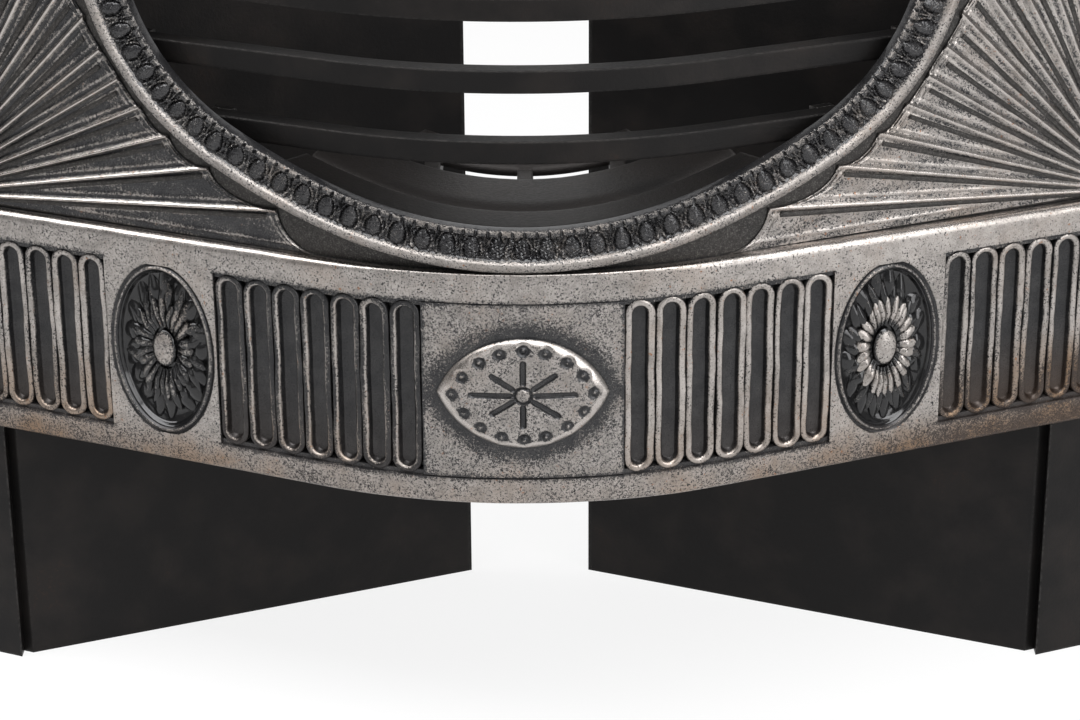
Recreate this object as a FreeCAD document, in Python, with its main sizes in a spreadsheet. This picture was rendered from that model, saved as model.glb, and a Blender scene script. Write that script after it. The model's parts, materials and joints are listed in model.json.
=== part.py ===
import FreeCAD, Part
import math
import os
from types import SimpleNamespace
from FreeCAD import Placement, Rotation, Vector

os.makedirs("parts", exist_ok=True)
doc = FreeCAD.newDocument("hob_grate")

# Driving sizes, in millimetres and degrees
driving_sizes = {
    # the whole grate
    "front_width": 826.0,
    "hob_height": 520.0,
    "front_to_rear": 260.0,
    "rear_gap": 84.0,
    # the bowed front seen from above: a round nose between two straight canted wings
    "nose_radius": 311.0,
    "wing_angle": 23.1,
    # wall thicknesses
    "apron_wall": 9.0,
    "plate_wall": 8.0,
    "cheek_wall": 8.0,
    "hob_wall": 8.0,
    # the fluted apron
    "apron_rise": 175.0,
    "apron_height": 152.4,
    "border_top": 19.1,
    "border_low": 17.7,
    "end_border": 21.8,
    "panel_half": 62.7,
    "flute_count": 7.0,
    "flute_bead": 4.1,
    "flute_drop": 5.5,
    "flute_end": 5.1,
    "bead_drop": 1.2,
    "groove_width": 2.1,
    "groove_drop": 4.0,
    # the oval paterae
    "patera_zone": 78.9,
    "patera_half_width": 36.0,
    "patera_half_height": 57.0,
    "patera_rim": 2.6,
    "patera_rim_rise": 1.2,
    "patera_sink": 5.0,
    "petal_count": 16.0,
    "petal_tip_share": 0.97,
    "petal_valley_share": 0.74,
    "petal_drop": 3.0,
    "inner_tip_share": 0.66,
    "inner_valley_share": 0.48,
    "inner_petal_drop": 1.2,
    "eye_half_width": 8.8,
    "eye_half_height": 12.2,
    # the pointed oval boss
    "boss_half_length": 53.4,
    "boss_half_height": 36.3,
    "boss_rise": 5.0,
    "boss_step": 2.2,
    "boss_bevel": 4.5,
    "stud_radius": 5.5,
    "stud_rise": 1.5,
    # the ring round the fire
    "ring_radius": 385.0,
    "ring_turn": 30.0,
    "ring_width": 27.0,
    "ring_seat_gap": 0.3,
    "rim_width": 8.0,
    "rim_rise": 3.0,
    "egg_band_width": 14.5,
    "egg_band_drop": 2.5,
    "lip_rise": 0.5,
    "plate_lap": 13.5,
    # the fan on each hob front
    "fan_pivot_inset": 25.0,
    "fan_pivot_rise": 1.0,
    "fan_hub_radius": 9.0,
    "fan_rib_count": 14.0,
    "fan_first_angle": 4.5,
    "fan_step_angle": 6.4,
    "fan_margin": 12.0,
    "fan_tail": 26.0,
    "fan_rib_width": 3.0,
    "fan_rib_rise": 2.0,
    "fan_pad_rise": 0.8,
    "scallop_sag": 1.0,
    "scallop_share": 0.33,
    "edge_border": 15.0,
    # feet, cheeks and hob plates
    "leg_width": 68.0,
    "plate_low_edge": 30.0,
    "centre_joint": 1.0,
    "flange_length": 40.0,
    "hob_inner": 200.0,
    "first_lug_share": 0.3,
    "second_lug_share": 0.7,
    "hob_lug_length": 28.0,
    "hob_lug_depth": 22.0,
    "hob_lug_height": 12.0,
    # fire bars
    "bar_height": 14.0,
    "bar_depth": 12.0,
    "bar_count": 3.0,
    "bar_space_count": 3.76,
    "bar_lap": 24.0,
    # the nest and what it rests on
    "nest_drop": 13.0,
    "nest_wall": 9.0,
    "nest_front": 32.0,
    "nest_lip_depth": 41.0,
    "nest_slot": 4.0,
    "nest_mid_depth": 57.0,
    "nest_rear_slot": 31.0,
    "nest_rear_depth": 34.0,
    "nest_half_reach": 172.0,
    "nest_rear_half_reach": 150.0,
    "nest_rib_pitch": 60.0,
    "nest_rib_width": 10.0,
    "nest_rib_drop": 10.0,
    "ledge_reach": 95.0,
    "ledge_inset": 25.0,
    "ledge_depth": 44.0,
    "ledge_height": 10.0,
    "bearer_share": 0.131,
    "bearer_depth": 24.0,
    "bearer_height": 14.0,
    "bearer_lug_length": 52.0,
    "bearer_lug_depth": 26.0,
    "bearer_bolt_room": 1.0,
    "rest_gap": 0.3,
    # square-shanked bolts and rivets in cored square holes
    "bolt_width": 8.0,
    "bolt_head_width": 14.0,
    "bolt_head_height": 6.0,
    "blind_depth": 5.5,
    "rove_width": 16.0,
    "rove_height": 3.0,
    "clench": 1.5,
    "bolt_play": 0.2,
    "head_gap": 0.1,
    "countersink_width": 15.0,
    "countersink_depth": 3.5,
}

sheet = doc.addObject("Spreadsheet::Sheet", "Sizes")
for row, (alias, value) in enumerate(driving_sizes.items(), start=1):
    sheet.set("A%d" % row, alias)
    sheet.set("B%d" % row, str(value))
    sheet.setAlias("B%d" % row, alias)
doc.recompute()
size = SimpleNamespace(**{alias: float(sheet.get(alias)) for alias in driving_sizes})

# Levels and reaches worked out from the driving sizes
cant = math.radians(size.wing_angle)
nose_reach = size.nose_radius * cant
front_stand = size.boss_rise + size.stud_rise
grate_depth = size.front_to_rear + front_stand
nose_y = front_stand - grate_depth / 2
rear_y = grate_depth / 2
apron_top = size.apron_rise + size.apron_height
apron_middle = size.apron_rise + (size.border_low + size.apron_height - size.border_top) / 2
field_height = size.apron_height - size.border_top - size.border_low
plate_front = size.apron_wall
plate_back = plate_front + size.plate_wall
plate_top = size.hob_height - size.hob_wall
ring_centre_z = apron_top + size.ring_seat_gap + size.ring_radius
ring_angle = math.radians(size.ring_turn)
side_reach = (ring_centre_z - size.hob_height) / math.cos(ring_angle)
side_radius = size.ring_radius - side_reach
side_x = side_reach * math.sin(ring_angle)
ring_half = side_x + side_radius
opening_low = apron_top + size.ring_seat_gap + size.ring_width
bar_pitch = (size.hob_height - opening_low) / size.bar_space_count
leg_inner = size.front_width / 2 - size.leg_width
hole_half = size.bolt_width / 2 + size.bolt_play
seat_depth = size.blind_depth + size.bolt_play
overshoot = 2.0
far_depth = 2 * grate_depth


def turn_at(reach):
    return max(-cant, min(cant, reach / size.nose_radius))


def spot(reach, depth, z=0.0):
    # Point at a developed distance from the centre line and a depth behind the apron's face
    angle = turn_at(reach)
    along = reach - size.nose_radius * angle
    radius = size.nose_radius - depth
    x = radius * math.sin(angle) + along * math.cos(angle)
    y = size.nose_radius - radius * math.cos(angle) + along * math.sin(angle)
    return Vector(x, nose_y + y, z)


def reach_of(x):
    # Developed distance of a plan x on the apron's face
    nose_x = size.nose_radius * math.sin(cant)
    if abs(x) <= nose_x:
        return size.nose_radius * math.asin(x / size.nose_radius)
    return math.copysign(nose_reach + (abs(x) - nose_x) / math.cos(cant), x)


half_reach = reach_of(size.front_width / 2)
fluted_reach = half_reach - size.panel_half - size.patera_zone - size.end_border
flute_pitch = fluted_reach / (2 * size.flute_count)
flute_width = flute_pitch - size.groove_width - 2 * size.flute_bead
fan_pivot_reach = half_reach - size.fan_pivot_inset


def front_place(reach, z, depth=0.0):
    # Local X along the front, local Y into the grate, local Z up
    turn = Rotation(Vector(0, 0, 1), math.degrees(turn_at(reach)))
    return Placement(spot(reach, depth, z), turn)


def bow_edges(start, end, depth):
    stops = [start] + [r for r in (-nose_reach, nose_reach) if start < r < end] + [end]
    edges = []
    for low, high in zip(stops, stops[1:]):
        middle = (low + high) / 2
        if abs(middle) < nose_reach:
            edges.append(Part.Arc(spot(low, depth), spot(middle, depth), spot(high, depth)).toShape())
        else:
            edges.append(Part.LineSegment(spot(low, depth), spot(high, depth)).toShape())
    return edges


def line(first, second):
    return Part.LineSegment(first, second).toShape()


def bow_band(start, end, near, far, low, high):
    # Solid that follows the bow between two depths and two levels
    edges = bow_edges(start, end, near)
    edges.append(line(spot(end, near), spot(end, far)))
    edges += reversed(bow_edges(start, end, far))
    edges.append(line(spot(start, far), spot(start, near)))
    face = Part.Face(Part.Wire(Part.__sortEdges__(edges)))
    face.translate(Vector(0, 0, low))
    return face.extrude(Vector(0, 0, high - low))


def prism(points, low, high):
    face = Part.Face(Part.makePolygon(points + points[:1]))
    face.translate(Vector(0, 0, low))
    return face.extrude(Vector(0, 0, high - low))


def ring_point(angle, inset):
    # Point on the ring's curve: one large arc below and a smaller arc on each side
    side = math.copysign(1, angle)
    turn = abs(angle)
    if turn <= ring_angle:
        radius = size.ring_radius - inset
        return Vector(side * radius * math.sin(turn), -far_depth / 2, ring_centre_z - radius * math.cos(turn))
    radius = side_radius - inset
    x = side_x + radius * math.sin(turn)
    return Vector(side * x, -far_depth / 2, size.hob_height - radius * math.cos(turn))


def ring_edges(stops, inset):
    edges = []
    for low, high in zip(stops, stops[1:]):
        points = [ring_point(a, inset) for a in (low, (low + high) / 2, high)]
        edges.append(Part.Arc(*points).toShape())
    return edges


def ring_band(outer_inset, inner_inset, near, far):
    # Part of the ring between two insets from its outer edge, bowed like the front
    quarter = math.pi / 2
    stops = [-quarter, -ring_angle, ring_angle, quarter]
    edges = ring_edges(stops, outer_inset) + ring_edges(stops, inner_inset)
    for end in (-quarter, quarter):
        edges.append(line(ring_point(end, outer_inset), ring_point(end, inner_inset)))
    face = Part.Face(Part.Wire(Part.__sortEdges__(edges)))
    reach = reach_of(ring_half) + overshoot
    bowed = bow_band(-reach, reach, near, far, size.apron_rise, size.hob_height)
    return face.extrude(Vector(0, far_depth, 0)).common(bowed)


def upright_face(edges):
    return Part.Face(Part.Wire(Part.__sortEdges__(edges)))


def flute_hollow(half_width, half_height, near, far):
    # Slot with round ends, sunk from one depth to another
    straight = half_height - half_width
    edges = []
    for way in (-1, 1):
        side = way * half_width
        edges.append(line(Vector(side, near, -straight), Vector(side, near, straight)))
        edges.append(Part.Arc(
            Vector(-half_width, near, way * straight),
            Vector(0, near, way * half_height),
            Vector(half_width, near, way * straight)).toShape())
    return upright_face(edges).extrude(Vector(0, far - near, 0))


def oval(half_width, half_height, near, far):
    # Upright oval drawn with four arcs: small ones at the ends, large ones at the sides
    slant = math.hypot(half_width, half_height)
    spare = (slant - (half_height - half_width)) / 2
    end_radius = spare * slant / half_height
    side_radius = (slant - spare) * slant / half_width
    end_centre = half_height - end_radius
    side_centre = side_radius - half_width
    turn = math.atan2(end_centre, side_centre)
    joint_x = end_radius * math.cos(turn)
    joint_z = end_centre + end_radius * math.sin(turn)
    edges = []
    for way in (-1, 1):
        edges.append(Part.Arc(
            Vector(-joint_x, near, way * joint_z),
            Vector(0, near, way * half_height),
            Vector(joint_x, near, way * joint_z)).toShape())
        edges.append(Part.Arc(
            Vector(way * joint_x, near, -joint_z),
            Vector(way * half_width, near, 0),
            Vector(way * joint_x, near, joint_z)).toShape())
    return upright_face(edges).extrude(Vector(0, far - near, 0))


def pointed_oval(half_length, half_height):
    # Upright outline of two arcs that meet in points, pressed right through the front
    y = nose_y - far_depth / 2
    edges = []
    for way in (-1, 1):
        edges.append(Part.Arc(
            Vector(-half_length, y, apron_middle),
            Vector(0, y, apron_middle + way * half_height),
            Vector(half_length, y, apron_middle)).toShape())
    return upright_face(edges).extrude(Vector(0, far_depth, 0))


def placed(shape, placement):
    copy = shape.copy()
    copy.Placement = placement
    return copy


def feature(name, shape):
    holder = doc.addObject("Part::Feature", name)
    holder.Shape = shape
    return holder


def joined(name, *objects):
    fuse = doc.addObject("Part::MultiFuse", name)
    fuse.Shapes = list(objects)
    fuse.Refine = True
    return fuse


def carved(name, base, tool):
    cut = doc.addObject("Part::Cut", name)
    cut.Base = base
    cut.Tool = tool
    cut.Refine = True
    return cut


def mirrored(name, source):
    twin = doc.addObject("Part::Mirroring", name)
    twin.Source = source
    twin.Normal = Vector(1, 0, 0)
    return twin


nodes = {}


def keep(label, source):
    source.Label = label
    nodes[label] = source


forward = Rotation(Vector(1, 0, 0), 90)
downward = Rotation(Vector(1, 0, 0), 180)
sunk = Rotation(Vector(1, 0, 0), -90)


# Square-headed bolt with its shank along +Z
def square_block(name, width, height, start):
    block = doc.addObject("Part::Box", name)
    block.setExpression("Length", width)
    block.setExpression("Width", width)
    block.setExpression("Height", height)
    block.setExpression("Placement.Base.x", "-(%s) / 2" % width)
    block.setExpression("Placement.Base.y", "-(%s) / 2" % width)
    block.setExpression("Placement.Base.z", start)
    return block


def bolt(name, grip):
    head_height = "Sizes.bolt_head_height"
    head = square_block(name + "_head", "Sizes.bolt_head_width", head_height, "-" + head_height)
    shank = square_block(name + "_shank", "Sizes.bolt_width", grip, "0")
    whole = joined(name, head, shank)
    doc.recompute()
    return whole.Shape


# Rivet with a sunk tapered head and a square shank, and the square rove that its end is clenched over
def rivet(name, grip):
    head = doc.addObject("Part::Wedge", name + "_head")
    for low, high, half in (
            ("Xmin", "Xmax", "Sizes.countersink_width / 2"),
            ("Zmin", "Zmax", "Sizes.countersink_width / 2"),
            ("X2min", "X2max", "Sizes.bolt_width / 2"),
            ("Z2min", "Z2max", "Sizes.bolt_width / 2")):
        head.setExpression(low, "-" + half)
        head.setExpression(high, half)
    head.Ymin = 0
    head.setExpression("Ymax", "Sizes.countersink_depth")
    head.Placement = Placement(Vector(0, 0, 0), forward)
    shank = square_block(name + "_shank", "Sizes.bolt_width", grip, "0")
    whole = joined(name, head, shank)
    doc.recompute()
    return whole.Shape


def rove(name):
    blank = square_block(name + "_blank", "Sizes.rove_width", "Sizes.rove_height", "0")
    hole = square_block(name + "_hole", "Sizes.bolt_width + 2 * Sizes.bolt_play", "Sizes.rove_height", "0")
    whole = carved(name, blank, hole)
    doc.recompute()
    return whole.Shape


front_bolt = bolt("front_bolt", "Sizes.plate_wall + Sizes.blind_depth")
flange_bolt = bolt("flange_bolt", "Sizes.cheek_wall + Sizes.blind_depth")
bar_bolt = bolt("bar_bolt", "Sizes.bar_depth + Sizes.blind_depth")
bearer_bolt = bolt("bearer_bolt", "Sizes.bearer_height + Sizes.blind_depth")
hob_rivet = rivet("hob_rivet", "Sizes.hob_wall + Sizes.hob_lug_height + Sizes.rove_height + Sizes.clench")
hob_rove = rove("hob_rove")


def from_behind(reach, z, depth):
    # Place of a bolt that is driven forward from a depth behind the front
    stand = front_place(reach, z, depth + size.head_gap)
    return Placement(stand.Base, stand.Rotation.multiply(forward))


def square_rod(start, end):
    return Part.makeBox(2 * hole_half, 2 * hole_half, end - start, Vector(-hole_half, -hole_half, start))


def hole_along(placement, start, end):
    return placed(square_rod(start, end), placement)


# Where the bolts of the front castings stand: reach and level
inner_end = size.panel_half + size.flute_count * flute_pitch
patera_reach = inner_end + size.patera_zone / 2
outer_start = inner_end + size.patera_zone
outer_end = outer_start + size.flute_count * flute_pitch
apron_stands = [
    (size.panel_half - size.end_border, apron_middle),
    (inner_end + size.bolt_width, apron_top - size.border_top - size.bolt_width / 2),
    (half_reach - size.end_border / 2, apron_middle),
]
bar_levels = [opening_low + (number + 1) * bar_pitch for number in range(int(size.bar_count))]
ring_stand_inset = size.plate_lap / 2
ring_stand_levels = [opening_low] + [(low + high) / 2 for low, high in zip(bar_levels, bar_levels[1:])]


def ring_turn_at(z, inset):
    # Angle on the ring's curve at a level
    turn = math.acos((ring_centre_z - z) / (size.ring_radius - inset))
    if turn <= ring_angle:
        return turn
    return math.acos((size.hob_height - z) / (side_radius - inset))


ring_stands = []
for level in ring_stand_levels:
    point = ring_point(ring_turn_at(level, ring_stand_inset), ring_stand_inset)
    ring_stands.append((reach_of(point.x), level))


# Apron: bowed slab with sunk fluted fields, paterae and a pointed boss
def flute_groups():
    # Right-hand group next to the panel and right-hand group next to the end
    return (size.panel_half, inner_end), (outer_start, outer_end)


def apron_fields():
    low = size.apron_rise + size.border_low
    fields = []
    for start, end in flute_groups():
        fields.append(bow_band(start, end, -overshoot, size.bead_drop, low, low + field_height))
        for number in range(int(size.flute_count) + 1):
            middle = start + number * flute_pitch
            groove_start = max(start, middle - size.groove_width / 2)
            groove_end = min(end, middle + size.groove_width / 2)
            fields.append(bow_band(groove_start, groove_end, 0, size.groove_drop, low, low + field_height))
    return both_hands(fields)


def both_hands(shapes):
    twins = [shape.mirror(Vector(0, 0, 0), Vector(1, 0, 0)) for shape in shapes]
    return Part.makeCompound(shapes + twins)


def flute_hollows():
    hollow = flute_hollow(flute_width / 2, field_height / 2 - size.flute_end, -overshoot, size.flute_drop)
    hollows = []
    for start, end in flute_groups():
        for number in range(int(size.flute_count)):
            middle = start + (number + 0.5) * flute_pitch
            hollows.append(placed(hollow, front_place(middle, apron_middle)))
    return both_hands(hollows)


def petal_ring(tip, valley, first_step, near, far):
    # Ring of pointed petals that meet in valleys, in the stretched polar grid of the oval dish
    half_width = size.patera_half_width - size.patera_rim
    half_height = size.patera_half_height - size.patera_rim
    step = 2 * math.pi / size.petal_count
    corners = []
    for number in range(int(size.petal_count)):
        for share, turn in ((tip, number + first_step), (valley, number + first_step + 0.5)):
            across = half_width * share * math.sin(turn * step)
            up = half_height * share * math.cos(turn * step)
            corners.append(Vector(across, near, up))
    face = Part.Face(Part.makePolygon(corners + corners[:1]))
    return face.extrude(Vector(0, far - near, 0))


def patera_dish():
    return oval(size.patera_half_width - size.patera_rim, size.patera_half_height - size.patera_rim,
                -size.patera_rim_rise - overshoot, size.patera_sink)


def patera_rim():
    rim = oval(size.patera_half_width, size.patera_half_height, -size.patera_rim_rise, size.patera_sink)
    return rim.cut(patera_dish())


def patera_flower():
    bottom = size.patera_sink + overshoot
    outer = petal_ring(size.petal_tip_share, size.petal_valley_share, 0, size.petal_drop, bottom)
    inner = petal_ring(size.inner_tip_share, size.inner_valley_share, 0.5, size.inner_petal_drop, bottom)
    eye = oval(size.eye_half_width, size.eye_half_height, 0, bottom)
    return outer.fuse([inner, eye])


def at_paterae(shape):
    return both_hands([placed(shape, front_place(patera_reach, apron_middle))])


def boss_layers():
    low = size.apron_rise
    lower = bow_band(-size.panel_half, size.panel_half, -size.boss_step, overshoot, low, apron_top)
    upper = bow_band(-size.panel_half, size.panel_half, -size.boss_rise, overshoot, low, apron_top)
    inner_height = size.boss_half_height - size.boss_bevel
    inner_length = size.boss_half_length * inner_height / size.boss_half_height
    foot = pointed_oval(size.boss_half_length, size.boss_half_height).common(lower)
    crown = pointed_oval(inner_length, inner_height).common(upper)
    stud = Part.makeCylinder(size.stud_radius, front_stand, Vector(0, nose_y - front_stand, apron_middle),
                             Vector(0, 1, 0))
    return foot.fuse([crown, stud])


def bolt_seats(stands, mouth, depth):
    holes = []
    for reach, z in stands:
        for way in (-1, 1):
            holes.append(hole_along(from_behind(way * reach, z, mouth), -overshoot, depth))
    return Part.makeCompound(holes)


apron_low = size.apron_rise
apron_band = bow_band(-half_reach, half_reach, 0, size.apron_wall, apron_low, apron_top)
apron_slab = feature("apron_slab", apron_band)
apron_sunk = carved("apron_sunk", apron_slab, feature("apron_field_cuts", apron_fields()))
apron_fluted = carved("apron_fluted", apron_sunk, feature("flute_cuts", flute_hollows()))
apron_dished = carved("apron_dished", apron_fluted, feature("patera_dish_cuts", at_paterae(patera_dish())))
apron_dressed = joined(
    "apron_dressed",
    apron_dished,
    feature("patera_rims", at_paterae(patera_rim())),
    feature("patera_flowers", at_paterae(patera_flower())),
    feature("pointed_boss", boss_layers()),
)
apron_seats = bolt_seats(apron_stands, size.apron_wall, seat_depth)
keep("fluted_apron", carved("fluted_apron", apron_dressed, feature("apron_bolt_seats", apron_seats)))


# Ring: half-round rim, hollow egg band and inner lip, lying on the hob fronts
rim_inner = size.rim_width
band_inner = rim_inner + size.egg_band_width
ring_rim = feature("ring_rim", ring_band(0, rim_inner, -size.rim_rise, size.apron_wall))
ring_hollow = feature("ring_egg_band", ring_band(rim_inner, band_inner, size.egg_band_drop, size.apron_wall))
ring_lip = feature("ring_lip", ring_band(band_inner, size.ring_width, -size.lip_rise, size.apron_wall))
ring_body = joined("ring_body", ring_rim, ring_hollow, ring_lip)
ring_seats = bolt_seats(ring_stands, size.apron_wall, seat_depth)
keep("nest_ring", carved("nest_ring", ring_body, feature("ring_bolt_seats", ring_seats)))


# Lines of the cheeks seen from above, on the right-hand side
def meet(first, first_way, second, second_way):
    # Where two plan lines cross
    across = first_way.x * second_way.y - first_way.y * second_way.x
    gap = second - first
    step = (gap.x * second_way.y - gap.y * second_way.x) / across
    return first + first_way * step


wing_way = Vector(math.cos(cant), math.sin(cant), 0)
leg_reach = reach_of(leg_inner)
cheek_front = spot(leg_reach, plate_back)
cheek_rear = Vector(size.rear_gap / 2, rear_y, 0)
cheek_length = (cheek_rear - cheek_front).Length
cheek_way = (cheek_rear - cheek_front).normalize()
cheek_out = Vector(cheek_way.y, -cheek_way.x, 0)


def lug(corner, along, out, length, depth, low, high):
    points = [corner, corner + along * length, corner + along * length + out * depth, corner + out * depth]
    return prism(points, low, high)


# Where the hob plates are bolted down, and where the bearer and the cheeks are bolted
lug_half = size.hob_lug_length / 2
lug_low = plate_top - size.hob_lug_height
lug_shares = (size.first_lug_share, size.second_lug_share)
hob_lug_feet = [cheek_front + cheek_way * (cheek_length * share) + cheek_out * size.cheek_wall
                for share in lug_shares]
hob_rivet_spots = [foot + cheek_out * (size.hob_lug_depth / 2) for foot in hob_lug_feet]
seat_level = ring_centre_z - size.ring_radius + size.ring_width - size.nest_drop
seat_level -= size.nest_wall + size.nest_rib_drop + size.rest_gap
bearer_low = seat_level - size.bearer_height
bearer_y = cheek_front.y + size.bearer_share * (rear_y - cheek_front.y)
bearer_foot = meet(cheek_front, cheek_way, Vector(0, bearer_y, 0), Vector(1, 0, 0))
bearer_head_reach = size.bolt_head_width / 2 * (abs(cheek_out.x) + abs(cheek_out.y))
bearer_bolt_inset = (bearer_head_reach + size.bearer_bolt_room) / abs(cheek_out.x)
bearer_bolt_spot = Vector(bearer_foot.x - bearer_bolt_inset, bearer_y, 0)
cheek_bolt_levels = [
    size.apron_rise / 3,
    apron_middle + 2 * size.bolt_head_width,
    plate_top - 3 * size.bolt_head_width,
]
cheek_bolt_reach = leg_reach + size.cheek_wall + size.flange_length / 2
cheek_stands = [(cheek_bolt_reach, z) for z in cheek_bolt_levels]


def down_hole(point, low, high):
    return hole_along(Placement(Vector(point.x, point.y, 0), Rotation()), low, high)


# How far the fire bars reach past the opening, and their bolts
def opening_half(z):
    # Half width of the fire opening inside the ring at a level
    if ring_centre_z - z > (size.ring_radius - size.ring_width) * math.cos(ring_angle):
        return math.sqrt((size.ring_radius - size.ring_width) ** 2 - (ring_centre_z - z) ** 2)
    radius = side_radius - size.ring_width
    return side_x + math.sqrt(radius ** 2 - (size.hob_height - z) ** 2)


plate_edge = size.ring_width - size.plate_lap
bar_ends = [reach_of(opening_half(z) + plate_edge) + size.bar_lap for z in bar_levels]
bar_stands = [(end - size.bar_lap / 2, z) for end, z in zip(bar_ends, bar_levels)]


# Hob fronts: bowed plates from floor to hob, shaped round the ring, with a fan cast on the face
def hob_front_outline():
    inner = size.centre_joint / 2
    start = math.asin(inner / (size.ring_radius - size.plate_lap))
    quarter = math.pi / 2
    edges = ring_edges([start, ring_angle, quarter], size.plate_lap)
    low = apron_low + size.plate_low_edge
    corners = [
        ring_point(quarter, size.plate_lap),
        Vector(size.front_width / 2, 0, size.hob_height),
        Vector(size.front_width / 2, 0, 0),
        Vector(leg_inner, 0, 0),
        Vector(leg_inner, 0, low),
        Vector(inner, 0, low),
        ring_point(start, size.plate_lap),
    ]
    for corner in corners:
        corner.y = -far_depth / 2
    edges += [line(a, b) for a, b in zip(corners, corners[1:])]
    return upright_face(edges).extrude(Vector(0, far_depth, 0))


fan_level = apron_top + size.fan_pivot_rise
fan_top = plate_top - size.edge_border - size.fan_margin


def fan_point(angle, length):
    return fan_pivot_reach - length * math.cos(angle), fan_level + length * math.sin(angle)


def ring_clearance(reach, z):
    # Distance from the ring's outer edge, outside it
    x = spot(reach, plate_front).x
    turn = math.atan2(x, ring_centre_z - z)
    if turn <= ring_angle:
        return math.hypot(x, ring_centre_z - z) - size.ring_radius
    return math.hypot(x - side_x, z - size.hob_height) - side_radius


def rib_length(angle):
    # A rib grows out of the hub until it comes near the ring or the top border
    length = size.fan_hub_radius
    while True:
        reach, z = fan_point(angle, length)
        if ring_clearance(reach, z) < size.fan_margin or z > fan_top:
            return length
        length += size.fan_rib_width / 4


def fan_relief():
    # Low pad with scalloped ends and a tail along the apron, a rib on each fold and a hub where the ribs meet
    pad_near = plate_front - size.fan_pad_rise
    rib_near = plate_front - size.fan_rib_rise
    rib_start = size.fan_hub_radius - size.fan_rib_width / 2
    far = plate_front + 2 * overshoot
    angles = [math.radians(size.fan_first_angle + number * size.fan_step_angle)
              for number in range(int(size.fan_rib_count))]
    ribs = [(angle, rib_length(angle)) for angle in angles]
    tail_length = ribs[0][1] + size.fan_tail
    tail_angle = -math.asin((size.fan_pivot_rise - size.rest_gap) / tail_length)
    folds = [(tail_angle, tail_length)] + ribs

    def local(angle, length):
        return Vector(-length * math.cos(angle), pad_near, length * math.sin(angle))

    edges = []
    for (low_angle, low_length), (high_angle, high_length) in zip(folds, folds[1:]):
        middle_angle = (low_angle + high_angle) / 2
        short_length = min(low_length, high_length)
        middle_length = short_length + size.scallop_share * abs(low_length - high_length) - size.scallop_sag
        edges.append(Part.Arc(
            local(low_angle, low_length),
            local(middle_angle, middle_length),
            local(high_angle, high_length)).toShape())
    pivot = Vector(0, pad_near, 0)
    edges += [line(pivot, local(*folds[0])), line(pivot, local(*folds[-1]))]
    pieces = [upright_face(edges).extrude(Vector(0, far - pad_near, 0))]
    for angle, length in ribs:
        corner = Vector(rib_start, rib_near, -size.fan_rib_width / 2)
        rib = Part.makeBox(length - rib_start, far - rib_near, size.fan_rib_width, corner)
        rib.rotate(Vector(0, 0, 0), Vector(0, 1, 0), 180 + math.degrees(angle))
        pieces.append(rib)
    hub = Part.makeCylinder(size.fan_hub_radius, far - rib_near, Vector(0, rib_near, 0), Vector(0, 1, 0))
    above = Part.makeBox(4 * size.fan_hub_radius, far_depth, 2 * size.fan_hub_radius,
                         Vector(-2 * size.fan_hub_radius, -far_depth / 2, apron_top - fan_level))
    pieces.append(hub.common(above))
    return placed(pieces[0].fuse(pieces[1:]), front_place(fan_pivot_reach, fan_level))


def edge_border():
    near = plate_front - size.fan_rib_rise
    inner = half_reach - size.edge_border
    side = bow_band(inner, half_reach, near, plate_front + overshoot, apron_top, plate_top)
    start = reach_of(ring_half) + overshoot
    top = bow_band(start, half_reach, near, plate_front + overshoot, plate_top - size.edge_border, plate_top)
    return side.fuse(top)


def nest_ledge():
    return bow_band(size.ledge_inset, size.ledge_reach, plate_back - overshoot, plate_back + size.ledge_depth,
                    seat_level - size.ledge_height, seat_level)


def hob_front_holes():
    holes = []
    for stands in (apron_stands, ring_stands):
        for reach, z in stands:
            place = from_behind(reach, z, plate_back)
            holes.append(hole_along(place, -overshoot, size.plate_wall + overshoot))
    for reach, z in cheek_stands + bar_stands:
        holes.append(hole_along(from_behind(reach, z, plate_back), -overshoot, seat_depth))
    return Part.makeCompound(holes)


front_slab = feature("hob_front_slab", bow_band(size.centre_joint / 2, half_reach, plate_front, plate_back,
                                                0, plate_top))
front_outline = feature("hob_front_outline", hob_front_outline())
front_plate = doc.addObject("Part::Common", "hob_front_plate")
front_plate.Base = front_slab
front_plate.Tool = front_outline
front_dressed = joined(
    "hob_front_dressed",
    front_plate,
    feature("fan_ribs", fan_relief()),
    feature("hob_front_border", edge_border()),
    feature("nest_ledge", nest_ledge()),
)
right_hob_front = carved("right_hob_front", front_dressed, feature("hob_front_holes", hob_front_holes()))
keep("right_hob_front", right_hob_front)
keep("left_hob_front", mirrored("left_hob_front", right_hob_front))


# Cheeks: splayed from behind the legs to the gap at the rear, floor to hob
def cheek_plan():
    flange_end = leg_reach + size.flange_length
    flange_face = spot(leg_reach, plate_back + size.cheek_wall)
    outer_face = cheek_front + cheek_out * size.cheek_wall
    return [
        cheek_front,
        spot(flange_end, plate_back),
        spot(flange_end, plate_back + size.cheek_wall),
        meet(flange_face, wing_way, outer_face, cheek_way),
        meet(outer_face, cheek_way, cheek_rear, Vector(1, 0, 0)),
        cheek_rear,
    ]


def cheek_lugs():
    lugs = []
    for foot in hob_lug_feet:
        corner = foot - cheek_way * lug_half - cheek_out * overshoot
        lugs.append(lug(corner, cheek_way, cheek_out, size.hob_lug_length, size.hob_lug_depth + overshoot,
                        lug_low, plate_top))
    corner = bearer_foot - cheek_way * (size.bearer_depth / 2) + cheek_out * overshoot
    bearer_lug_depth = size.bearer_lug_depth + overshoot
    lugs.append(lug(corner, cheek_way, cheek_out * -1, size.bearer_lug_length, bearer_lug_depth,
                    bearer_low - size.ledge_height, bearer_low))
    return Part.makeCompound(lugs)


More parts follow.
